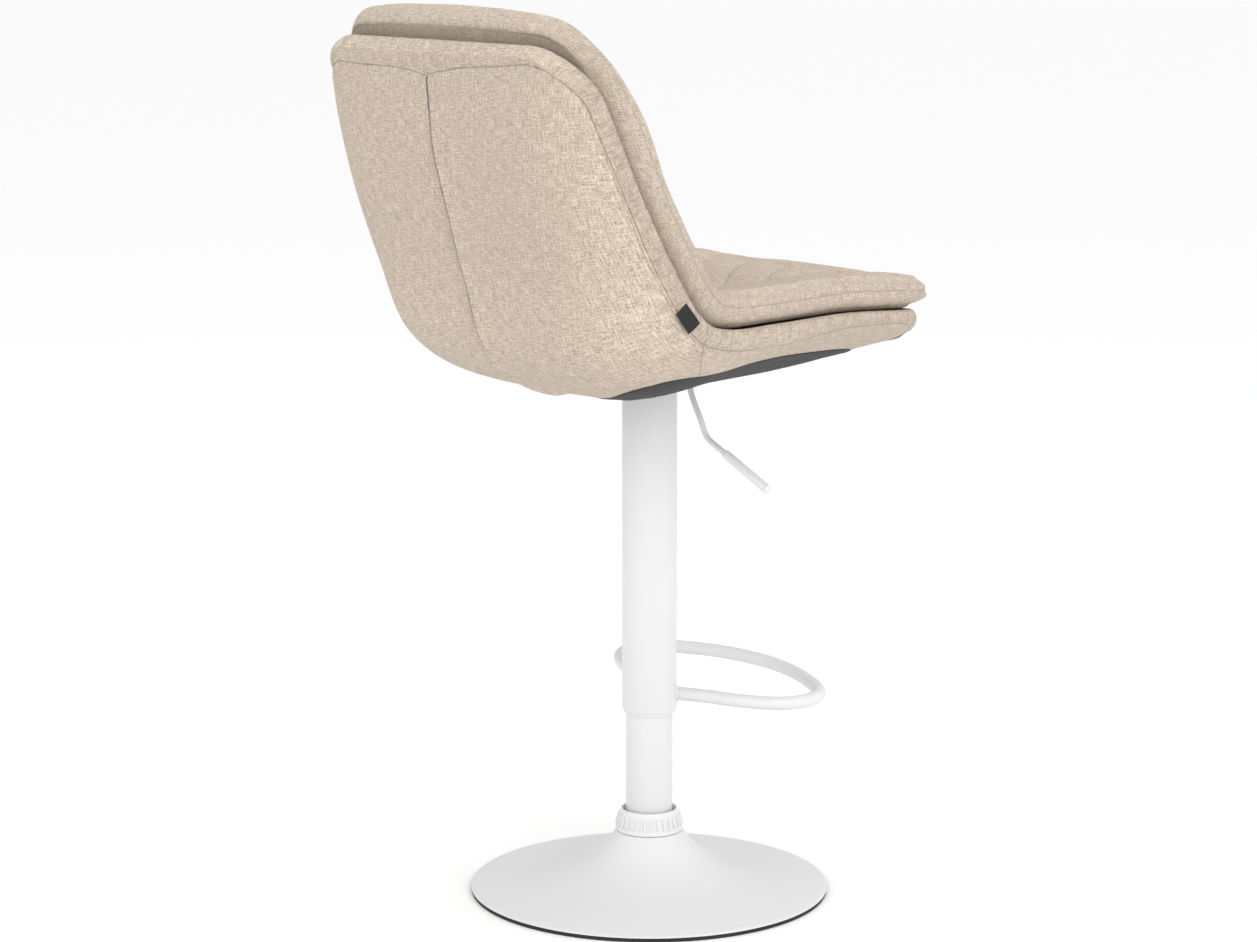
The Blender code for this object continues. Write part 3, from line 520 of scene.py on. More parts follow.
def planGrid(given, inset, rows, across, cornerRows):
    # places in the bowl for a slab with rounded corners and bowed ends, this far inside its outline
    begin, finish = lengthAt(given["start"]) + inset, lengthAt(given["end"]) - inset
    total = finish - begin
    radius = given["corner"] - inset
    near = radius * (1 - np.cos(np.pi / 2 * np.arange(cornerRows) / cornerRows))
    along = np.concatenate([near, radius + (total - 2 * radius) * np.linspace(0, 1, rows + 1), total - near[::-1]])
    d, a = along[:, None], np.asarray(across)[None, :]
    edge = np.minimum(d, total - d)
    short = np.where(edge < radius, radius - np.sqrt(np.maximum(radius ** 2 - (radius - edge) ** 2, 0)), 0)
    wide = stationAt(atLength(begin + d))[..., 4] / 1000
    crown = 1 - a * a
    push = (given["bow"][1] * crown * np.maximum(0, 1 - (total - d) / 0.12) ** 2
            - given["bow"][0] * crown * np.maximum(0, 1 - d / 0.12) ** 2)
    run = begin + d + push
    return atLength(run), a * (wide - inset - short) / wide, run


def rimOrder(n, m):
    return ([(i, 0) for i in range(n)] + [(n, j) for j in range(m)]
            + [(i, m) for i in range(n, 0, -1)] + [(0, j) for j in range(m, 0, -1)])


def rimOf(grid):
    n, m = grid.shape[0] - 1, grid.shape[1] - 1
    rows, cols = np.array(rimOrder(n, m)).T
    return grid[rows, cols]


def bulgeAmounts(given, n, m, cornerRows):
    # how far the side stands out at each place of the rim: more at the two ends than along the sides
    rows = np.array(rimOrder(n, m))[:, 0]
    side, (first, last) = given["bulge"], given["endBulge"]
    amount = np.full(len(rows), side, float)
    start, end = rows < cornerRows, rows > n - cornerRows
    amount[start] = side + (first - side) * (1 - rows[start] / cornerRows)
    amount[end] = side + (last - side) * (1 - (n - rows[end]) / cornerRows)
    return amount


def outwardOf(lowRim, highRim, centre):
    tangent = np.roll(lowRim, -1, 0) - np.roll(lowRim, 1, 0)
    out = np.cross(tangent, highRim - lowRim)
    out /= np.linalg.norm(out, axis=1)[:, None]
    return np.where(((lowRim - centre) * out).sum(1)[:, None] < 0, -out, out)


def closedBody(name, lowGrid, loops, highGrid, lowUv, loopUv, highUv, hole=None):
    # one closed mesh: a grid, the loops of its side, and the grid on the other face; hole cells join both faces
    n, m = lowGrid.shape[0] - 1, lowGrid.shape[1] - 1
    size, count = (n + 1) * (m + 1), 2 * (n + m)
    points = np.concatenate([lowGrid.reshape(-1, 3), np.concatenate(loops), highGrid.reshape(-1, 3)])
    highBase = size + count * len(loops)
    index = np.arange(size).reshape(n + 1, m + 1)
    faces, uvs = [], []
    keep = np.ones((n, m), bool) if hole is None else ~hole
    for base, uv in ((0, lowUv), (highBase, highUv)):
        quads = np.stack([index[:-1, :-1], index[1:, :-1], index[1:, 1:], index[:-1, 1:]], axis=-1)[keep]
        faces.append(quads + base)
        uvs.append(uv.reshape(-1, 2)[quads])
    order = np.array([i * (m + 1) + j for i, j in rimOrder(n, m)])
    rings = [order] + [size + count * k + np.arange(count) for k in range(len(loops))] + [order + highBase]
    for k in range(len(rings) - 1):
        first, second = rings[k], rings[k + 1]
        faces.append(np.stack([first, np.roll(first, -1), np.roll(second, -1), second], axis=-1))
        a, b = loopUv[k], loopUv[k + 1]
        nextA, nextB = np.roll(a, -1, 0), np.roll(b, -1, 0)
        nextA[-1, 0], nextB[-1, 0] = a[-1, 0] + 0.003, b[-1, 0] + 0.003
        uvs.append(np.stack([a, nextA, nextB, b], axis=1))
    if hole is not None:
        walls = []
        for i, j in zip(*np.where(hole)):
            for (p, q), (k, l) in ((((i, j), (i, j + 1)), (i - 1, j)), (((i + 1, j + 1), (i + 1, j)), (i + 1, j)),
                                   (((i + 1, j), (i, j)), (i, j - 1)), (((i, j + 1), (i + 1, j + 1)), (i, j + 1))):
                if not hole[k, l]:
                    walls.append((index[p], index[q], index[q] + highBase, index[p] + highBase))
        walls = np.array(walls)
        faces.append(walls)
        uvs.append(np.stack([points[walls][..., 0], points[walls][..., 1]], axis=-1))
    faces, uvs = np.concatenate(faces), np.concatenate(uvs)
    mesh = bpy.data.meshes.new(name)
    mesh.from_pydata(points.tolist(), [], faces.tolist())
    layer = mesh.uv_layers.new(name="cloth")
    layer.data.foreach_set("uv", uvs.reshape(-1).astype(np.float32))
    piece = bpy.data.objects.new(name, mesh)
    bpy.context.scene.collection.objects.link(piece)
    return piece, {"low": np.arange(size), "rings": rings, "high": np.arange(size) + highBase, "shape": (n + 1, m + 1)}


def setField(piece, name, values):
    kind = "FLOAT" if values.ndim == 1 else "FLOAT_VECTOR"
    field = piece.data.attributes.new(name, kind, "POINT")
    field.data.foreach_set("value" if kind == "FLOAT" else "vector", values.reshape(-1).astype(np.float32))


def getField(piece, name, wide):
    values = np.empty(len(piece.data.vertices) * wide, np.float32)
    piece.data.attributes[name].data.foreach_get("value" if wide == 1 else "vector", values)
    return values if wide == 1 else values.reshape(-1, wide)


def getPoints(piece, what="co"):
    values = np.empty(len(piece.data.vertices) * 3, np.float32)
    if what == "co":
        piece.data.vertices.foreach_get("co", values)
    else:
        piece.data.vertex_normals.foreach_get("vector", values)
    return values.reshape(-1, 3).astype(float)


def setPoints(piece, points):
    piece.data.vertices.foreach_set("co", points.reshape(-1).astype(np.float32))
    piece.data.update()


def makeActive(piece):
    bpy.ops.object.select_all(action="DESELECT")
    piece.select_set(True)
    bpy.context.view_layer.objects.active = piece


def faceOutwards(piece):
    makeActive(piece)
    bpy.ops.object.mode_set(mode="EDIT")
    bpy.ops.mesh.select_all(action="SELECT")
    bpy.ops.mesh.normals_make_consistent(inside=False)
    bpy.ops.object.mode_set(mode="OBJECT")


def nearestDistance(points, line):
    tree = KDTree(len(line))
    for k, p in enumerate(line):
        tree.insert(p, k)
    tree.balance()
    return np.array([tree.find(p)[2] for p in points])


def smoothStep(value, low, high):
    t = np.clip((value - low) / (high - low), 0, 1)
    return t * t * (3 - 2 * t)


def rimLengths(rim):
    return np.concatenate([[0], np.cumsum(np.linalg.norm(np.diff(rim, axis=0), axis=1))])


# the opening under the seat, which the dust cover closes
opening = {"half": 0.165, "front": -0.186, "back": 0.152, "corner": 0.060, "taper": 0.80, "hollow": 0.048}


def openingOutline(given, grow):
    half, front, back = given["half"] + grow, given["front"] - grow, given["back"] + grow
    radius = given["corner"] + grow
    ring = []
    for cx, cy, start in ((half - radius, back - radius, 0), (-half + radius, back - radius, 1),
                          (-half + radius, front + radius, 2), (half - radius, front + radius, 3)):
        for k in range(9):
            angle = math.pi / 2 * (start + k / 8)
            ring.append((cx + radius * math.cos(angle), cy + radius * math.sin(angle)))
    ring = np.array(ring + ring[:1])
    share = np.linspace(0, 1, 12, endpoint=False)[:, None]
    ring = np.concatenate([first * (1 - share) + second * share for first, second in zip(ring, ring[1:])] + [ring[-1:]])
    x, y = ring.T
    hollow = given["hollow"] * np.maximum(0, 1 - (x / 0.140) ** 2) ** 2 * (y > 0)
    ring = np.stack([x * (1 + given["taper"] * y), y - hollow], axis=-1)
    angles = np.unwrap(np.arctan2(ring[:, 1], ring[:, 0]))
    return lambda angle: np.interp((angle - angles[0]) % (2 * np.pi) + angles[0], angles, np.hypot(*ring.T))


# upholstered shell: outer cover with its edge band, back seam and lip

shellCoverShape = {
    "start": 0.92, "end": 9.34, "corner": 0.052, "bow": (0.001, 0.012), "bulge": 0.003, "endBulge": (0.009, 0.006),
    "rows": 150, "cornerRows": 14, "boardRecess": 0.0103, "recessInset": 0.012,
    # where the border seam lies inside the outline: place across, from the lever's side, and distance
    "seamAcross": ((-0.20, 0.0012), (-0.165, 0.0035), (-0.12, 0.0085), (-0.06, 0.0125), (-0.02, 0.0185), (0, 0.0235),
                   (0.02, 0.0195), (0.05, 0.0165), (0.12, 0.0155), (0.165, 0.0130), (0.20, 0.0030)),
    "seamSide": 0.0012, "crossSeamY": 0.109, "crossSlant": 0.018,
    # the open pleat down the back: place across it and how far the cloth stands out, in mm
    "pleat": ((-24, 0), (-16, 0.9), (-12.5, 1.8), (-9.5, 2.9), (-7, 4.0), (-5, 4.7), (-3.6, 4.9), (-2.4, 4.8),
              (-1.4, 4.1), (-0.6, 2.0),
              (0, -1.6), (0.6, -3.8), (1.4, -4.8), (2.4, -4.8), (3.6, -4.0), (5, -2.9), (7, -1.9), (9.5, -1.1),
              (12.5, -0.5), (16, 0)),
    "pleatTop": 0.868, "pleatEnd": 0.104,
}


def centreDenseAcross(cell):
    middle = np.array([0, 0.0006, 0.0014, 0.0024, 0.0036, 0.005, 0.007, 0.0095, 0.0125, 0.016]) / 0.21
    steps = int(round((1 - middle[-1]) * 0.21 / cell))
    outer = middle[-1] + (1 - middle[-1]) * np.linspace(0, 1, steps + 1)[1:]
    half = np.concatenate([middle, outer])
    return np.concatenate([-half[:0:-1], half])


def buildShellCover(given):
    across = centreDenseAcross(0.0044)
    corner = given["cornerRows"]
    u, v, run = planGrid(given, 0.0, given["rows"], across, corner)
    n, m = u.shape[0] - 1, u.shape[1] - 1
    outer = bowl(u, v, 0.0)
    lowRim, highRim = rimOf(outer), rimOf(bowl(u, v, 1.0))
    # the outward direction is judged against the middle of each row, and of the sheet at the two ends
    rows = np.array(rimOrder(n, m))[:, 0]
    inside = outer[np.clip(rows, 8, n - 8), m // 2]
    out = outwardOf(lowRim, highRim, inside)
    amount = bulgeAmounts(given, n, m, corner)[:, None]
    loops, heights = [], [0.0]
    for t in (0.10, 0.25, 0.42, 0.58, 0.72, 0.84):
        loops.append(lowRim * (1 - t) + highRim * t + out * amount * math.sin(math.pi * min(t, 0.97)) ** 0.8)
        heights.append(t)
    for inset, depth in ((0.0004, 0.93), (0.0022, 0.98), (0.0055, 1.0), (0.0092, 0.985), (0.0112, 0.94)):
        uu, vv = planGrid(given, inset, given["rows"], across, corner)[:2]
        loops.append(rimOf(bowl(uu, vv, depth)) + out * amount * 0.35)
        heights.append(1.0 + inset * 20)
    uu, vv = planGrid(given, given["recessInset"], given["rows"], across, corner)[:2]
    thick = thicknessAt(uu, vv, 0.0, 1.0)
    floor = bowl(uu, vv, 1 - given["boardRecess"] / thick)
    reach = openingOutline(opening, -0.004)
    mid = (outer[:-1, :-1] + outer[1:, 1:]) / 2
    hole = (np.hypot(mid[..., 0], mid[..., 1]) < reach(np.arctan2(mid[..., 1], mid[..., 0]))) & (mid[..., 2] < 0.64)
    flatUv = np.stack([outer[..., 0], run], axis=-1)
    along = rimLengths(lowRim)
    loopUv = [np.stack([along, 2 + np.full(len(along), h * 0.022)], axis=-1) for h in heights + [1.3]]
    piece, parts = closedBody("shellUpholstery", outer, loops, floor, flatUv, loopUv, flatUv, hole)
    points = getPoints(piece)

    # signed distances to the sewn lines
    inner = nearestDistance(outer.reshape(-1, 3), lowRim)
    x, y, z = points.T
    onTop = smoothStep(z, 0.840, 0.892)
    seamAcross = np.array(given["seamAcross"])
    wanted = given["seamSide"] * (1 - onTop) + onTop * np.interp(x, *seamAcross.T)
    border = np.full(len(points), -0.02)
    border[parts["low"]] = inner - wanted[parts["low"]]
    band = np.zeros(len(points))
    for k, ring in enumerate(parts["rings"][1:-1]):
        border[ring] = -np.linalg.norm(loops[min(k, 5)] - lowRim, axis=1) - 0.001 - wanted[ring]
        band[ring] = 1
    border[parts["high"]] = -0.05
    lowered = parts["low"]
    band[lowered] = np.clip(-border[lowered] / 0.004, 0, 1)
    closed = smoothStep(z, given["pleatTop"] - 0.070, given["pleatTop"])
    strength = smoothStep(y, given["pleatEnd"], given["pleatEnd"] + 0.026) * (1 - closed)
    # where the pleat opens, its line of painted shade, standing for the shade inside the open fold, is wider and lies
    # beside the lip
    centreLine = (x - 0.0034 * strength) / (1 + 1.9 * strength)
    centreField = np.where((border > -0.001) & (z < 0.925) & (y > 0.112), centreLine, 0.05)
    centreField[parts["high"]] = 0.05
    crossY = given["crossSeamY"] - given["crossSlant"] * smoothStep(-np.abs(x), -0.212, -0.180)
    crossField = np.where((np.abs(x) > 0.15) & (z < 0.66), y - crossY, 0.05)
    # painted shade in the crack between shell and pad: full on the recess floor and the last side loop, half on the
    # loop before it
    crack = np.zeros(len(points))
    crack[parts["high"]] = 1
    crack[parts["rings"][-2]] = 1
    crack[parts["rings"][-3]] = 0.5
    setField(piece, "crack", crack)
    setField(piece, "seams", np.stack([border, centreField, crossField], axis=-1))
    side = smoothStep(z, 0.60, 0.66) * smoothStep(-z, -0.93, -0.87)
    setField(piece, "gather", band * (0.30 + 0.70 * side))

    # relief: the open pleat beside the back seam, the dip of the seams and a soft unevenness of the foam
    faceOutwards(piece)
    normals = getPoints(piece, "normal")
    lift = np.zeros(len(points))
    low = parts["low"]
    pleat = np.array(given["pleat"]) / 1000
    lift[low] += (np.interp(x, *pleat.T) * strength)[low]
    closedPart = smoothStep(z, given["pleatTop"] - 0.04, given["pleatTop"]) * (border > 0)
    lift[low] -= (0.0013 * np.exp(-(x / 0.004) ** 2) * closedPart)[low]
    lift[low] -= (0.0012 * np.exp(-(border / 0.004) ** 2))[low]
    for ring in parts["rings"][1:6]:
        lift[ring] -= 0.0010 * np.exp(-(border[ring] / 0.004) ** 2)
        lift[ring] += 0.0008 * smoothStep(-border[ring], 0.004, 0.010)
    waves = np.array([noise.noise(Vector((p[0] * 11, p[1] * 11, p[2] * 11))) for p in points])
    lift[low] += 0.0011 * waves[low]
    setPoints(piece, points + normals * lift[:, None])
    # each seam's last number is how strongly its line is darkened with painted shade; the pleat's line is darkened
    # fully
    piece.data.materials.append(makeLinen("linenShell", (("seams", 0, 0.0009, 0.0045, 0.0009, 0.55),
                                                          ("seams", 1, 0.0019, 0.0050, 0.0008, 1.0),
                                                          ("seams", 2, 0.0008, 0.0040, 0.0008, 0.45)), gather=True))
    makeActive(piece)
    bpy.ops.object.shade_smooth()
    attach(piece, "seat")
    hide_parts("shell_cover")
    print("shell cover:", len(piece.data.polygons), "faces")
    return piece


buildShellCover(shellCoverShape)


# seat pad: one quilted cushion bent from the seat up the back, blown up by a short cloth simulation

padShape = {
    "start": 0.43, "end": 9.46, "corner": 0.052, "bow": (0.003, 0.012), "bulge": 0.0045, "endBulge": (0.008, 0.012),
    "rows": 62, "cornerRows": 8, "cell": 0.0095, "backGap": 0.0018, "faceInset": 0.0120, "edgeInset": 0.009,
    "panelHalf": 0.575, "panelTop": 0.066, "panelFront": -0.196, "crossSeamY": -0.112,
    "pressure": 3.2, "cap": 0.0035, "frames": 18, "quiltAcross": 0.059, "quiltAlong": 0.068, "puff": 0.0042,
}


def inflate(piece, pins, pressure, cap, frames):
    before = getPoints(piece)
    group = piece.vertex_groups.new(name="sewn")
    for weight in np.unique(pins):
        group.add(np.where(pins == weight)[0].tolist(), float(weight), "REPLACE")
    makeActive(piece)
    bpy.ops.object.modifier_add(type="CLOTH")
    modifier = piece.modifiers[-1]
    cloth = modifier.settings
    cloth.quality = 6
    cloth.mass = 0.25
    cloth.tension_stiffness = cloth.compression_stiffness = 12
    cloth.shear_stiffness = 6
    cloth.bending_stiffness = 0.6
    cloth.use_pressure = True
    cloth.uniform_pressure_force = pressure
    cloth.vertex_group_mass = "sewn"
    cloth.pin_stiffness = 6
    cloth.effector_weights.gravity = 0
    modifier.point_cache.frame_start, modifier.point_cache.frame_end = 1, frames
    for frameNumber in range(1, frames + 1):
        bpy.context.scene.frame_set(frameNumber)
    bpy.ops.object.modifier_apply(modifier=modifier.name)
    bpy.context.scene.frame_set(1)
    move = getPoints(piece) - before
    far = np.linalg.norm(move, axis=1)
    print("pad simulated: moved", round(float(far.mean()) * 1000, 2), "mm on average,",
          round(float(far.max()) * 1000, 2), "at most")
    move *= np.minimum(1, cap / np.maximum(far, 1e-9))[:, None]
    setPoints(piece, before + move)
    piece.vertex_groups.clear()


def buildSeatPad(given):
    steps = int(round((1 - given["panelHalf"]) * 0.21 / given["cell"]))
    inner = int(round(given["panelHalf"] * 0.21 / given["cell"]))
    half = np.concatenate([np.linspace(0, given["panelHalf"], inner + 1)[:-1],
                           np.linspace(given["panelHalf"], 1, steps + 1)])
    across = np.concatenate([-half[:0:-1], half])
    corner = given["cornerRows"]

    def outline(inset, place):
        u, v, run = planGrid(given, inset, given["rows"], across, corner)
        back = 1 + given["backGap"] / thicknessAt(u, v, 1.0, 2.0)
        return u, v, run, bowl(u, v, back + (2 - back) * place)

    u, v, run, back = outline(given["faceInset"], 0.0)
    n, m = u.shape[0] - 1, u.shape[1] - 1
    frontV, frontRun, front = outline(given["faceInset"], 1.0)[1:]
    flatLow, flatHigh = outline(0.0, 0.0)[3], outline(0.0, 1.0)[3]
    lowRim, highRim = rimOf(flatLow), rimOf(flatHigh)
    rows = np.array(rimOrder(n, m))[:, 0]
    inside = flatLow[np.clip(rows, 6, n - 6), m // 2]
    out = outwardOf(lowRim, highRim, inside)
    amount = bulgeAmounts(given, n, m, corner)[:, None]
    loops, along = [], rimLengths(lowRim)
    profile = ((0.02, -1.0), (0.10, -0.45), (0.20, 0.15), (0.33, 0.75), (0.47, 1.0), (0.60, 0.72), (0.72, 0.70),
               (0.85, 0.35), (0.96, -0.70))
    seamRing = 5
    for place, stand in profile:
        loops.append(lowRim * (1 - place) + highRim * place + out * np.where(
            stand > 0, amount * stand, given["edgeInset"] * stand))
    lengths = [0.0]
    for a, b in zip([rimOf(back)] + loops, loops + [rimOf(front)]):
        lengths.append(lengths[-1] + float(np.linalg.norm(b - a, axis=1).mean()))
    loopUv = [np.stack([along, 2 + np.full(len(along), h)], axis=-1) for h in lengths]
    backUv = np.stack([back[..., 0], run], axis=-1)
    frontUv = np.stack([front[..., 0], frontRun], axis=-1)
    piece, parts = closedBody("quiltedPad", back, loops, front, backUv, loopUv, frontUv)
    count = len(piece.data.vertices)
    place = np.zeros((count, 3))
    ringSide = np.zeros(count)
    place[parts["low"]] = np.stack([v.ravel() * 0.205, run.ravel(), np.zeros(v.size)], axis=-1)
    place[parts["high"]] = np.stack([frontV.ravel() * 0.205, frontRun.ravel(), np.full(v.size, 2.0)], axis=-1)
    ringSide[parts["low"]] = -0.05
    ringSide[parts["high"]] = 0.05
    for k, ring in enumerate(parts["rings"][1:-1]):
        place[ring] = np.stack([rimOf(frontV) * 0.205, rimOf(frontRun), np.full(len(ring), 1.0 + 0.1 * k)], axis=-1)
        ringSide[ring] = np.linalg.norm(loops[k] - loops[seamRing], axis=1) * (1 if k > seamRing else -1)
    # painted shade where the pad runs into the crack: on its back face and, faintly, on its first side loop
    crack = np.zeros(count)
    crack[parts["low"]] = 0.45
    crack[parts["rings"][1]] = 0.10
    setField(piece, "crack", crack)
    setField(piece, "place", place)
    setField(piece, "ringSide", ringSide)
    faceOutwards(piece)

    pins = np.zeros(count)
    pins[parts["low"]] = 1.0
    pins[parts["rings"][1]] = 1.0
    pins[parts["rings"][seamRing + 1]] = 0.9
    grid = parts["high"].reshape(parts["shape"])
    seamColumns = [int(np.argmin(np.abs(across - side * given["panelHalf"]))) for side in (-1, 1)]
    for column in seamColumns:
        pins[grid[corner:, column]] = 0.85
    inflate(piece, pins, given["pressure"], given["cap"], given["frames"])
    makeActive(piece)
    bpy.ops.object.modifier_add(type="SUBSURF")
    piece.modifiers[-1].levels = piece.modifiers[-1].render_levels = 2
    bpy.ops.object.modifier_apply(modifier=piece.modifiers[-1].name)

    points, normals = getPoints(piece), getPoints(piece, "normal")
    place, ringSide = getField(piece, "place", 3).astype(float), getField(piece, "ringSide", 1).astype(float)
    x, s, code = place.T
    y, z = points[:, 1], points[:, 2]
    onFront = smoothStep(code, 1.72, 1.98)
    begin = lengthAt(given["start"])
    # the quilted panel is a rectangle in the plane of the cloth; its front edge lies at a fixed place of the seat
    seat = (z < 0.72) & (code > 1.8)
    frontRun = float(np.median(s[seat & (np.abs(y - given["panelFront"]) < 0.003)]))
    halfPanel = given["panelHalf"] * 0.205
    box = np.minimum(halfPanel - np.abs(x), np.minimum(s - begin - given["panelTop"], frontRun - s))
    box = np.where(code > 1.7, box, -0.05)
    phaseA = x / given["quiltAcross"] + (s - frontRun) / given["quiltAlong"]
    phaseB = x / given["quiltAcross"] - (s - frontRun) / given["quiltAlong"]
    quiltMask = smoothStep(box, 0.0, 0.0015)
    puff = (np.abs(np.sin(np.pi * phaseA)) * np.abs(np.sin(np.pi * phaseB))) ** 0.42
    fade = smoothStep(box, 0.0, 0.012)
    lift = onFront * quiltMask * (given["puff"] * puff * (0.35 + 0.65 * fade) - 0.0022)
    # border strips roll down into the panel seam
    lift += onFront * np.where(box < 0, 0.0028 * (1 - np.exp(box / 0.010)), 0.0)
    lift -= onFront * 0.0030 * np.exp(-np.abs(box) / 0.0035)
    crossRun = float(np.median(s[seat & (np.abs(y - given["crossSeamY"]) < 0.003)]))
    slant = crossRun - (np.abs(x) - halfPanel) * 0.30
    cross = np.where((box < 0.002) & (ringSide > -0.001) & (code > 1.4) & (s > begin + 0.3), s - slant, 0.05)
    topSlant = begin + given["panelTop"] - (np.abs(x) - halfPanel) * 0.72
    atTop = (box < 0.002) & (code > 1.4) & (s < begin + 0.25) & (np.abs(x) > halfPanel - 0.001)
    cross = np.where(atTop, s - topSlant, cross)
    lift -= onFront * 0.0012 * np.exp(-np.abs(cross) / 0.003)
    lift -= 0.0014 * np.exp(-(ringSide / 0.0035) ** 2)
    waves = np.array([noise.noise(Vector((p[0] * 16, p[1] * 16, p[2] * 16))) for p in points])
    lift += 0.0009 * waves * (code > 0.9)
    # creases in the bend between back and seat
    bend = smoothStep(-np.abs(z - 0.70), -0.045, -0.010) * smoothStep(-points[:, 1], -0.20, -0.06) * (code > 1.7)
    folds = np.array([noise.noise(Vector((p[0] * 22, (p[2] - p[1]) * 150, 3.0))) for p in points])
    lift -= 0.0012 * bend * np.abs(folds) * (box < 0)
    setPoints(piece, points + normals * lift[:, None])
    setField(piece, "seams", np.stack([ringSide, box, cross], axis=-1))
    setField(piece, "quilt", np.stack([phaseA + 50, phaseB + 50, quiltMask * onFront], axis=-1))
    # each seam's last number is how strongly its line is darkened with painted shade
    piece.data.materials.append(makeLinen("linenPad", (("seams", 0, 0.0008, 0.0050, 0.0010, 0.35),
                                                        ("seams", 1, 0.0010, 0.0060, 0.0012, 0.30),
                                                        ("seams", 2, 0.0008, 0.0040, 0.0010, 0.45)),
                                          quilt={"spacing": 0.040}))
    bpy.ops.object.shade_smooth()
    for field in ("place", "ringSide"):
        piece.data.attributes.remove(piece.data.attributes[field])
    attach(piece, "seat")
    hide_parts("seat_pad")
    print("seat pad:", len(piece.data.polygons), "faces")
    return piece


buildSeatPad(padShape)


# dust cover: black cloth stretched under the seat, with a keyhole for the column and the lever

dustShape = {"columnHole": 0.0300, "slotReach": 0.0835, "slotHalf": 0.0062, "overlap": 0.0018, "offset": 0.0007,
             "rings": 34, "sag": 0.0028, "puckers": 0.0011}


def undersideAt(x, y):
    # place of the shell's outer face over a point of the plan, by halving the interval
    low, high = np.full(x.shape, 4.6), np.full(x.shape, 9.6)
    for turn in range(26):
        middle = (low + high) / 2
        v = x / (stationAt(middle)[..., 4] / 1000)
        behind = bowl(middle, v, 0.0)[..., 1] > y
        low, high = np.where(behind, middle, low), np.where(behind, high, middle)
    return bowl((low + high) / 2, x / (stationAt((low + high) / 2)[..., 4] / 1000), 0.0)


def buildDustCover(given):
    near = np.radians(np.concatenate([np.linspace(-12, 12, 25)]))
    rest = np.linspace(math.radians(12), math.radians(348), 153)[1:-1]
    angles = math.pi + np.concatenate([near, rest])
    delta = np.abs((angles - math.pi + math.pi) % (2 * math.pi) - math.pi)
    keyhole = np.full(angles.shape, given["columnHole"])
    with np.errstate(divide="ignore"):
        slot = np.minimum(given["slotReach"] / np.cos(delta), given["slotHalf"] / np.maximum(np.sin(delta), 1e-6))
    keyhole = np.where(delta < 0.6, np.maximum(keyhole, slot), keyhole)
    edge = openingOutline(opening, given["overlap"])(angles)
    share = np.linspace(0, 1, given["rings"] + 1) ** 0.85
    radius = keyhole[None, :] * (1 - share[:, None]) + edge[None, :] * share[:, None]
    x, y = radius * np.cos(angles), radius * np.sin(angles)
    points = undersideAt(x, y)
    step = 0.0015
    alongX = undersideAt(x + step, y) - undersideAt(x - step, y)
    alongY = undersideAt(x, y + step) - undersideAt(x, y - step)
    normal = np.cross(alongY, alongX)
    normal /= np.linalg.norm(normal, axis=-1)[..., None]
    inward = 1 - share[:, None]
    puckers = np.array([[noise.noise(Vector((math.cos(a) * 26, math.sin(a) * 26, t * 2.0))) for a in angles]
                        for t in share])
    away = given["offset"] + given["sag"] * np.sin(np.pi * inward) ** 2 * 0.5 + given["puckers"] * puckers * smoothStep(
        share[:, None], 0.35, 0.9)
    away = np.maximum(away, 0.0007)
    away[-1] = 0.0004
    points = points + normal * away[..., None]
    count = len(angles)
    faces = [[i * count + j, i * count + (j + 1) % count, (i + 1) * count + (j + 1) % count, (i + 1) * count + j]
             for i in range(given["rings"]) for j in range(count)]
    mesh = bpy.data.meshes.new("dustCloth")
    mesh.from_pydata(points.reshape(-1, 3).tolist(), [], faces)
    piece = bpy.data.objects.new("dustCloth", mesh)
    bpy.context.scene.collection.objects.link(piece)
    makeActive(piece)
    down = sum(p.normal.z for p in mesh.polygons)
    if down > 0:
        bpy.ops.object.mode_set(mode="EDIT")
        bpy.ops.mesh.select_all(action="SELECT")
        bpy.ops.mesh.flip_normals()
        bpy.ops.object.mode_set(mode="OBJECT")
    bpy.ops.object.modifier_add(type="SOLIDIFY")
    piece.modifiers[-1].thickness = 0.0006
    piece.modifiers[-1].offset = 0
    bpy.ops.object.modifier_apply(modifier=piece.modifiers[-1].name)
    bpy.ops.object.shade_smooth_by_angle(angle=math.radians(50))
    piece.data.materials.append(finishes["ribbed"])
    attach(piece, "seat")
    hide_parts("dust_cover")
    print("dust cover ready")
    return piece


buildDustCover(dustShape)


# plain woven label in the band seam

labelShape = {"long": 0.027, "wide": 0.016, "thick": 0.0007, "along": 4.72, "rise": 0.12, "stand": 0.0046}


def settle(piece):
    # the place of a finished piece goes into its mesh
    makeActive(piece)
    bpy.ops.object.transform_apply(location=True, rotation=True, scale=True)


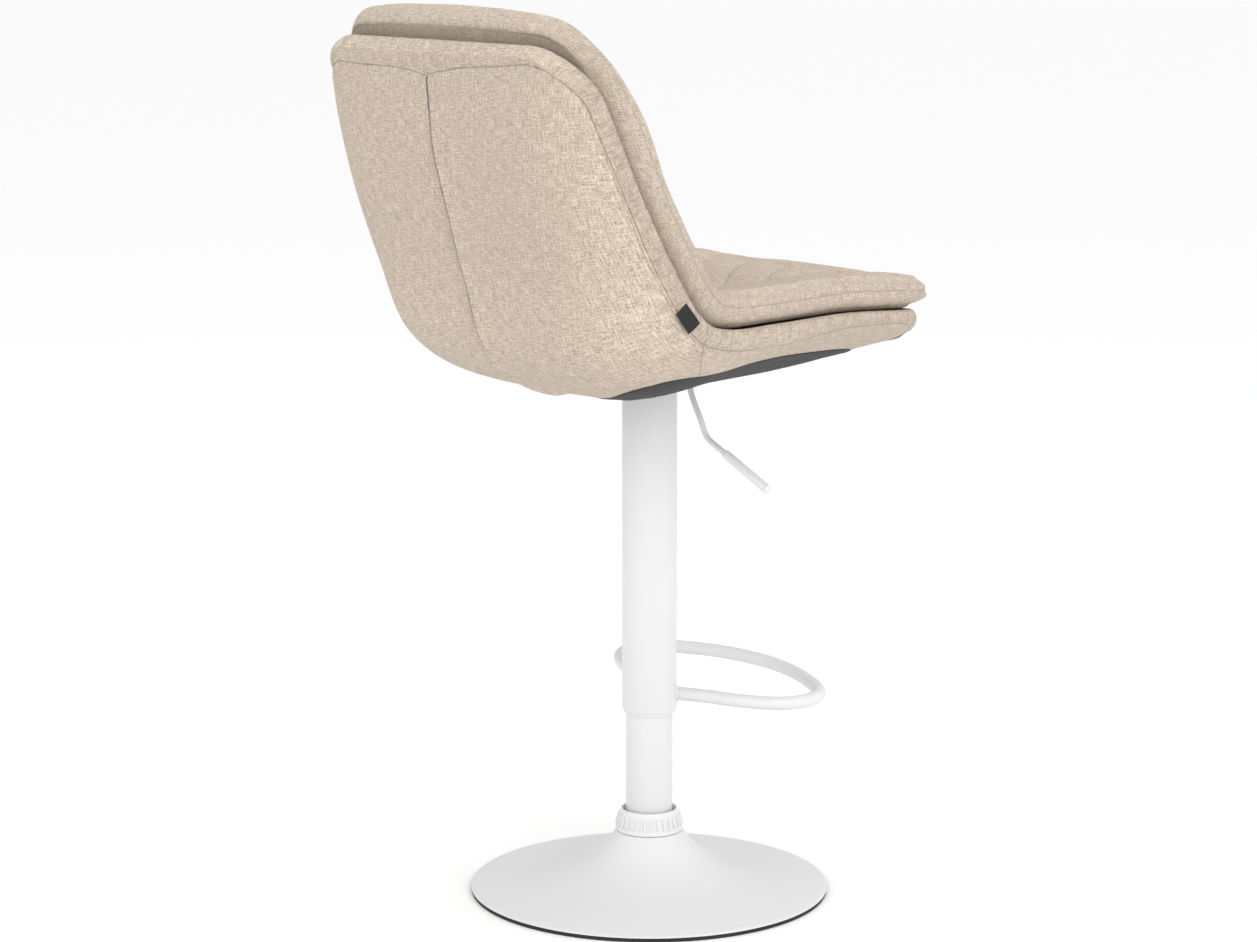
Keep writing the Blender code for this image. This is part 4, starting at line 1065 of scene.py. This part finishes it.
def buildLabel(given):
    low, high = (bowl(np.array(given["along"] + step), np.array(-1.0), 0.15) for step in (-0.15, 0.15))
    wide = bowl(np.array(given["along"]), np.array(-1.0), 0.95) - bowl(np.array(given["along"]), np.array(-1.0), 0.05)
    along, across = Vector(high - low).normalized(), Vector(wide).normalized()
    out = along.cross(across).normalized()
    if out.x > 0:
        out = -out
    across = out.cross(along)
    middle = Vector(bowl(np.array(given["along"]), np.array(-1.0), given["rise"])) + out * given["stand"]
    bpy.ops.object.select_all(action="DESELECT")
    bpy.ops.mesh.primitive_grid_add(x_subdivisions=18, y_subdivisions=12, size=1, location=(0, 0, 0))
    piece = bpy.context.object
    piece.name = piece.data.name = "wovenLabel"
    piece.matrix_world = Matrix(((along.x * given["long"], across.x * given["wide"], out.x, middle.x),
                                 (along.y * given["long"], across.y * given["wide"], out.y, middle.y),
                                 (along.z * given["long"], across.z * given["wide"], out.z, middle.z), (0, 0, 0, 1)))
    for vertex in piece.data.vertices:
        a, b = vertex.co.x, vertex.co.y
        # lies a little curled, sewn down along one long side
        vertex.co.z = 0.0011 * math.sin(2.2 * a + 0.6) * (b + 0.5) - 0.0016 * (0.5 - b) ** 2
    settle(piece)
    bpy.ops.object.modifier_add(type="SOLIDIFY")
    piece.modifiers[-1].thickness = given["thick"]
    piece.modifiers[-1].offset = 0
    bpy.ops.object.modifier_apply(modifier=piece.modifiers[-1].name)
    bpy.ops.object.modifier_add(type="BEVEL")
    piece.modifiers[-1].width = 0.0002
    piece.modifiers[-1].segments = 2
    bpy.ops.object.modifier_apply(modifier=piece.modifiers[-1].name)
    faceOutwards(piece)
    bpy.ops.object.shade_smooth_by_angle(angle=math.radians(40))
    piece.data.materials.append(finishes["label"])
    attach(piece, "seat")
    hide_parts("fabric_label")
    return piece


buildLabel(labelShape)


# round pieces: a ring of vertices drawn up and scaled along its profile


def smoothProfile(points, per):
    padded = [2 * Vector(points[0]) - Vector(points[1])] + [Vector(p) for p in points]
    padded.append(2 * padded[-1] - padded[-2])
    made = []
    for a, b, c, d in zip(padded, padded[1:], padded[2:], padded[3:]):
        for k in range(per):
            t = k / per
            made.append(0.5 * (2 * b + (c - a) * t + (2 * a - 5 * b + 4 * c - d) * t * t
                               + (3 * b - a - 3 * c + d) * t ** 3))
    made.append(padded[-2])
    return [tuple(p) for p in made]


def drawRound(name, profile, sides, material, body, slot, replaced, smooth=32):
    # the profile is a closed list of radius and height; each step is an extrusion scaled and moved
    bpy.ops.object.select_all(action="DESELECT")
    radius, height = profile[0]
    bpy.ops.mesh.primitive_circle_add(vertices=sides, radius=radius, location=(0, 0, height))
    piece = bpy.context.object
    piece.name = piece.data.name = name
    bpy.ops.object.mode_set(mode="EDIT")
    bpy.ops.mesh.select_all(action="SELECT")
    for nextRadius, nextHeight in profile[1:] + profile[:1]:
        bpy.ops.mesh.extrude_region_move(TRANSFORM_OT_translate={"value": (0, 0, nextHeight - height)})
        grow = nextRadius / radius
        bpy.ops.transform.resize(value=(grow, grow, 1), center_override=(0, 0, nextHeight))
        radius, height = nextRadius, nextHeight
    bpy.ops.mesh.select_all(action="SELECT")
    bpy.ops.mesh.remove_doubles(threshold=0.00002)
    bpy.ops.mesh.normals_make_consistent(inside=False)
    bpy.ops.object.mode_set(mode="OBJECT")
    settle(piece)
    bpy.ops.object.shade_smooth_by_angle(angle=math.radians(smooth))
    finish(piece, material, body, slot, replaced)
    return piece


def finish(piece, material, body, slot, replaced):
    piece.data.materials.clear()
    piece.data.materials.append(material)
    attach(piece, body)
    if replaced:
        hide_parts(*replaced)


baseShape = {"radius": 0.1925, "neck": 0.036, "neckHeight": 0.0655, "sheet": 0.002, "bore": 0.0253,
             "flare": [(0.172, 0.0092), (0.145, 0.0135), (0.115, 0.0188), (0.090, 0.0250), (0.070, 0.0330),
                       (0.056, 0.0425), (0.046, 0.0530), (0.0395, 0.0610)]}


def buildBase(given):
    r = given["radius"]
    flare = smoothProfile([(r - 0.0012, 0.0061)] + given["flare"] + [(given["neck"], given["neckHeight"])], 4)
    rim = [(r - 0.0030, 0.0041), (r - 0.0008, 0.0040), (r, 0.0045), (r - 0.0002, 0.0054)]
    inner = [(a - given["sheet"] * 0.5, b - given["sheet"]) for a, b in flare[2:-6:3]][::-1]
    neck = given["neckHeight"]
    profile = rim + flare + [(given["neck"] - 0.0006, neck + 0.0001), (given["bore"], neck + 0.0001),
                             (given["bore"], neck - given["sheet"]),
                             (given["neck"] - 0.0022, neck - given["sheet"])] + inner
    drawRound("trumpetBase", profile, 128, finishes["paint"], "base", "powder_coat", ["base_shell"])
    drawRound("floorRing", [(r - 0.0096, 0.0002), (r - 0.0012, 0.0), (r - 0.0006, 0.0007), (r - 0.0003, 0.0037),
                            (r - 0.0100, 0.0037)], 128, finishes["rubber"], "base", "black_rubber", ["floor_ring"])


collarShape = {"low": 0.0658, "high": 0.0900, "ribs": 30, "tube": 0.0253}


def buildCollar(given):
    low, high = given["low"], given["high"]
    profile = [(given["tube"], low), (0.0342, low), (0.0358, low + 0.0006), (0.0362, low + 0.0020),
               (0.0360, low + 0.0036),
               (0.0352, low + 0.0046), (0.0347, low + 0.0056), (0.0341, low + 0.0090), (0.0329, low + 0.0140),
               (0.0320, low + 0.0176), (0.0318, low + 0.0190), (0.0312, low + 0.0212), (0.0304, high - 0.0007),
               (0.0297, high), (0.0288, high - 0.0002), (0.0283, high - 0.0012), (0.0278, high - 0.0060),
               (0.0262, high - 0.0085), (given["tube"], high - 0.0088)]
    collar = drawRound("columnCollar", profile, 120, finishes["plastic"], "base", "white_plastic", ["base_collar"])
    # one rounded rib, copied round the collar
    bpy.ops.object.select_all(action="DESELECT")
    bpy.ops.mesh.primitive_cube_add(size=1, location=(0.0340, 0, low + 0.0118))
    rib = bpy.context.object
    rib.scale = (0.0030, 0.0032, 0.0120)
    bpy.ops.object.transform_apply(location=False, rotation=False, scale=True)
    rib.rotation_euler = (0, math.radians(-14), 0)
    bpy.ops.object.transform_apply(location=True, rotation=True, scale=True)
    bpy.ops.object.modifier_add(type="BEVEL")
    rib.modifiers[-1].width = 0.0011
    rib.modifiers[-1].segments = 2
    bpy.ops.object.modifier_apply(modifier=rib.modifiers[-1].name)
    ribs = [rib]
    for k in range(1, given["ribs"]):
        copy = rib.copy()
        copy.data = rib.data.copy()
        bpy.context.scene.collection.objects.link(copy)
        copy.rotation_euler = (0, 0, 2 * math.pi * k / given["ribs"])
        ribs.append(copy)
    makeActive(collar)
    for piece in ribs:
        piece.select_set(True)
    bpy.ops.object.join()
    collar.data.materials.clear()
    collar.data.materials.append(finishes["plastic"])
    bpy.ops.object.shade_smooth_by_angle(angle=math.radians(40))


columnShape = {"lowRadius": 0.025, "lowBottom": 0.0183, "lowTop": 0.480, "highRadius": 0.0292, "highBottom": 0.2000,
               "highTop": 0.5750, "wall": 0.002}


def tubeProfile(radius, low, high, wall):
    edge = 0.0006
    return [(radius - wall, low + edge), (radius - wall + edge, low), (radius - edge, low),
            (radius - edge * 0.3, low + edge * 0.3), (radius, low + edge), (radius, (low + high) / 2),
            (radius, high - edge), (radius - edge, high), (radius - wall, high)]


def buildColumn(given):
    r, wall = given["highRadius"], given["wall"]
    drawRound("lowerTube", tubeProfile(given["lowRadius"], given["lowBottom"], given["lowTop"], wall), 96,
              finishes["paint"], "base", "powder_coat", ["lower_tube"])
    drawRound("coverTube", tubeProfile(r, given["highBottom"], given["highTop"], wall), 96, finishes["paint"], "seat",
              "powder_coat", ["cover_tube"])
    low = given["highBottom"]
    drawRound("slideRing", [(0.0253, low - 0.0038), (0.0262, low - 0.0040), (0.0268, low - 0.0038),
                            (0.0272, low - 0.0030), (0.0272, low - 0.0004), (0.0269, low - 0.0003),
                            (0.0269, low + 0.0220), (0.0253, low + 0.0220)],
              96, finishes["plastic"], "seat", "white_plastic", ["cover_end_ring"])


# footrest: a bent tube welded to the cover tube

footrestShape = {
    "tube": 0.00725, "turn": math.radians(6), "height": 0.2145, "tiltForward": 0.04, "tiltLeft": 0.05, "reach": 0.181,
    "half": [(0.0190, 0.0260), (0.0470, 0.0400), (0.0825, 0.0535), (0.1180, 0.0765), (0.1320, 0.1070), (0.1210, 0.1380),
             (0.0840, 0.1610), (0.0460, 0.1750)],
    "bead": 0.0017,
}


def sweep(name, points, radius, sides, cyclic=False, radii=None):
    # a curve through the points, round in section, made a mesh
    bpy.ops.object.select_all(action="DESELECT")
    bpy.ops.curve.primitive_nurbs_path_add(location=(0, 0, 0))
    piece = bpy.context.object
    piece.name = piece.data.name = name
    curve = piece.data
    curve.splines.clear()
    spline = curve.splines.new("POLY")
    spline.points.add(len(points) - 1)
    for k, point in enumerate(points):
        spline.points[k].co = (*point, 1)
        spline.points[k].radius = radii[k] if radii else 1
    spline.use_cyclic_u = cyclic
    curve.dimensions = "3D"
    curve.bevel_depth = radius
    curve.bevel_resolution = sides // 4
    curve.use_fill_caps = not cyclic
    curve.twist_mode = "MINIMUM"
    bpy.ops.object.convert(target="MESH")
    piece = bpy.context.object
    bpy.ops.object.mode_set(mode="EDIT")
    bpy.ops.mesh.select_all(action="SELECT")
    bpy.ops.mesh.remove_doubles(threshold=0.00001)
    bpy.ops.mesh.normals_make_consistent(inside=False)
    bpy.ops.object.mode_set(mode="OBJECT")
    bpy.ops.object.shade_smooth_by_angle(angle=math.radians(40))
    return piece


def footrestPoint(given, x, forward):
    c, s = math.cos(given["turn"]), math.sin(given["turn"])
    return Vector((forward * s + x * c, -(forward * c - x * s),
                   given["height"] + given["tiltForward"] * (forward - 0.030) + given["tiltLeft"] * (x + 0.020)))


def buildFootrest(given):
    half = [footrestPoint(given, -x, y) for x, y in given["half"]]
    other = [footrestPoint(given, x, y) for x, y in given["half"]][::-1]
    points = smoothProfile(half + [footrestPoint(given, 0, given["reach"])] + other, 10)
    # the two ends stop just inside the wall of the cover tube
    wall = columnShape["highRadius"]
    points = [p for p in points if math.hypot(p[0], p[1]) > wall - 0.0012]
    ring = sweep("footrestRing", points, given["tube"], 24)
    beads = []
    for end, after in ((Vector(points[0]), Vector(points[3])), (Vector(points[-1]), Vector(points[-4]))):
        direction = (after - end).normalized()
        side = direction.cross(Vector((0, 0, 1))).normalized()
        up = side.cross(direction)
        loop, sizes = [], []
        for k in range(40):
            angle = 2 * math.pi * k / 40
            start = end + (side * math.cos(angle) + up * math.sin(angle)) * (given["tube"] + 0.0004)
            a = direction.x ** 2 + direction.y ** 2
            b = 2 * (start.x * direction.x + start.y * direction.y)
            c = start.x ** 2 + start.y ** 2 - (wall + 0.0003) ** 2
            t = (-b + math.sqrt(max(b * b - 4 * a * c, 0))) / (2 * a)
            loop.append(start + direction * t)
            sizes.append(1 + 0.28 * noise.noise(Vector((k * 0.9, end.x * 40, 0))))
        beads.append(sweep("bead", loop, given["bead"], 12, cyclic=True, radii=sizes))
    makeActive(ring)
    for bead in beads:
        bead.select_set(True)
    bpy.ops.object.join()
    finish(ring, finishes["paint"], "seat", "powder_coat", ["footrest_ring"])


# height lever: a bent wire with a sleeve grip

leverShape = {
    "height": 0.5980, "drop": -0.0600, "wire": 0.00315, "grip": 0.00475, "pivot": -0.032, "pin": 0.0022,
    "bends": [(0.0045, -0.0035), (0.0000, -0.0130), (-0.0045, -0.0420), (-0.0115, -0.0580), (-0.0220, -0.0750),
              (-0.0295, -0.0890), (-0.0375, -0.0955), (-0.0520, -0.1020), (-0.0650, -0.1075)],
    "gripFrom": (-0.0610, -0.1058), "gripTo": (-0.1260, -0.1343),
}


def buildLever(given):
    height, drop = given["height"], given["drop"]
    points = smoothProfile([(0.0030, 0, height), (-0.0200, 0, height), (drop + 0.0140, 0, height)]
                           + [(drop + x, 0, height + z) for x, z in given["bends"]], 8)
    start = Vector((drop + given["gripFrom"][0], 0, height + given["gripFrom"][1]))
    end = Vector((drop + given["gripTo"][0], 0, height + given["gripTo"][1]))
    wire = sweep("leverWire", points + [tuple(start.lerp(end, 0.3))], given["wire"], 16)
    bpy.ops.object.select_all(action="DESELECT")
    bpy.ops.mesh.primitive_cylinder_add(vertices=20, radius=given["pin"], depth=2 * (given["wire"] + 0.0063),
                                        location=(given["pivot"], 0, height), rotation=(math.pi / 2, 0, 0))
    pin = bpy.context.object
    bpy.ops.object.transform_apply(location=True, rotation=True, scale=True)
    makeActive(wire)
    pin.select_set(True)
    bpy.ops.object.join()
    finish(wire, finishes["paint"], "lever", "powder_coat", ["lever_rod"])

    # the sleeve: a cylinder with rounded ends, a groove near its collar and a shallow one near its tip
    length = (end - start).length
    bpy.ops.object.select_all(action="DESELECT")
    bpy.ops.mesh.primitive_cylinder_add(vertices=40, radius=given["grip"], depth=length, location=(0, 0, 0))
    grip = bpy.context.object
    grip.name = grip.data.name = "leverGrip"
    for place, width, scale in ((length / 2 - 0.0048, 0.0010, 0.90), (-length / 2 + 0.0052, 0.0007, 0.95)):
        bpy.ops.object.mode_set(mode="EDIT")
        for cut in (place - width / 2, place, place + width / 2):
            bpy.ops.mesh.select_all(action="SELECT")
            bpy.ops.mesh.bisect(plane_co=(0, 0, cut), plane_no=(0, 0, 1))
        bpy.ops.mesh.select_all(action="DESELECT")
        bpy.ops.object.mode_set(mode="OBJECT")
        for vertex in grip.data.vertices:
            vertex.select = abs(vertex.co.z - place) < 1e-5
        bpy.ops.object.mode_set(mode="EDIT")
        bpy.ops.transform.resize(value=(scale, scale, 1), center_override=(0, 0, place))
        bpy.ops.object.mode_set(mode="OBJECT")
    bpy.ops.object.modifier_add(type="BEVEL")
    grip.modifiers[-1].width = 0.0014
    grip.modifiers[-1].segments = 4
    grip.modifiers[-1].limit_method = "ANGLE"
    grip.modifiers[-1].angle_limit = math.radians(60)
    bpy.ops.object.modifier_apply(modifier=grip.modifiers[-1].name)
    grip.rotation_euler = (start - end).to_track_quat("Z", "Y").to_euler()
    grip.location = (start + end) / 2
    settle(grip)
    bpy.ops.object.shade_smooth_by_angle(angle=math.radians(40))
    finish(grip, finishes["plastic"], "lever", "white_plastic", ["lever_grip"])


buildBase(baseShape)
buildCollar(collarShape)
buildColumn(columnShape)
buildFootrest(footrestShape)
buildLever(leverShape)
print("base, column, footrest and lever ready")


# finishes of the plainer parts that keep their own shape

carriedOver = {
    "castIron": ["base_weight"],
    "blackPlastic": ["base_cover", "guide_bush"],
    "rubber": ["bump_stop", "rod_seal"],
    "polished": ["piston_rod"],
    "cylinder": ["pressure_tube", "seat_plate", "lever_bracket", "seat_hub"],
    "zinc": ["base_socket", "base_bolt", "bolt_washer", "tube_plug", "thrust_washer_low", "thrust_washer_top",
             "thrust_cage", "piston_head", "valve_pin"]
            + [kind + str(k) for kind in ("seat_bolt_", "seat_washer_", "t_nut_") for k in (1, 2, 3, 4)],
    "plywood": ["shell_board"],
}
for finishName, names in carriedOver.items():
    for nodeName in names:
        node = nodes[nodeName]
        node.data.materials.clear()
        node.data.materials.append(finishes[finishName])
print("carried-over parts finished")
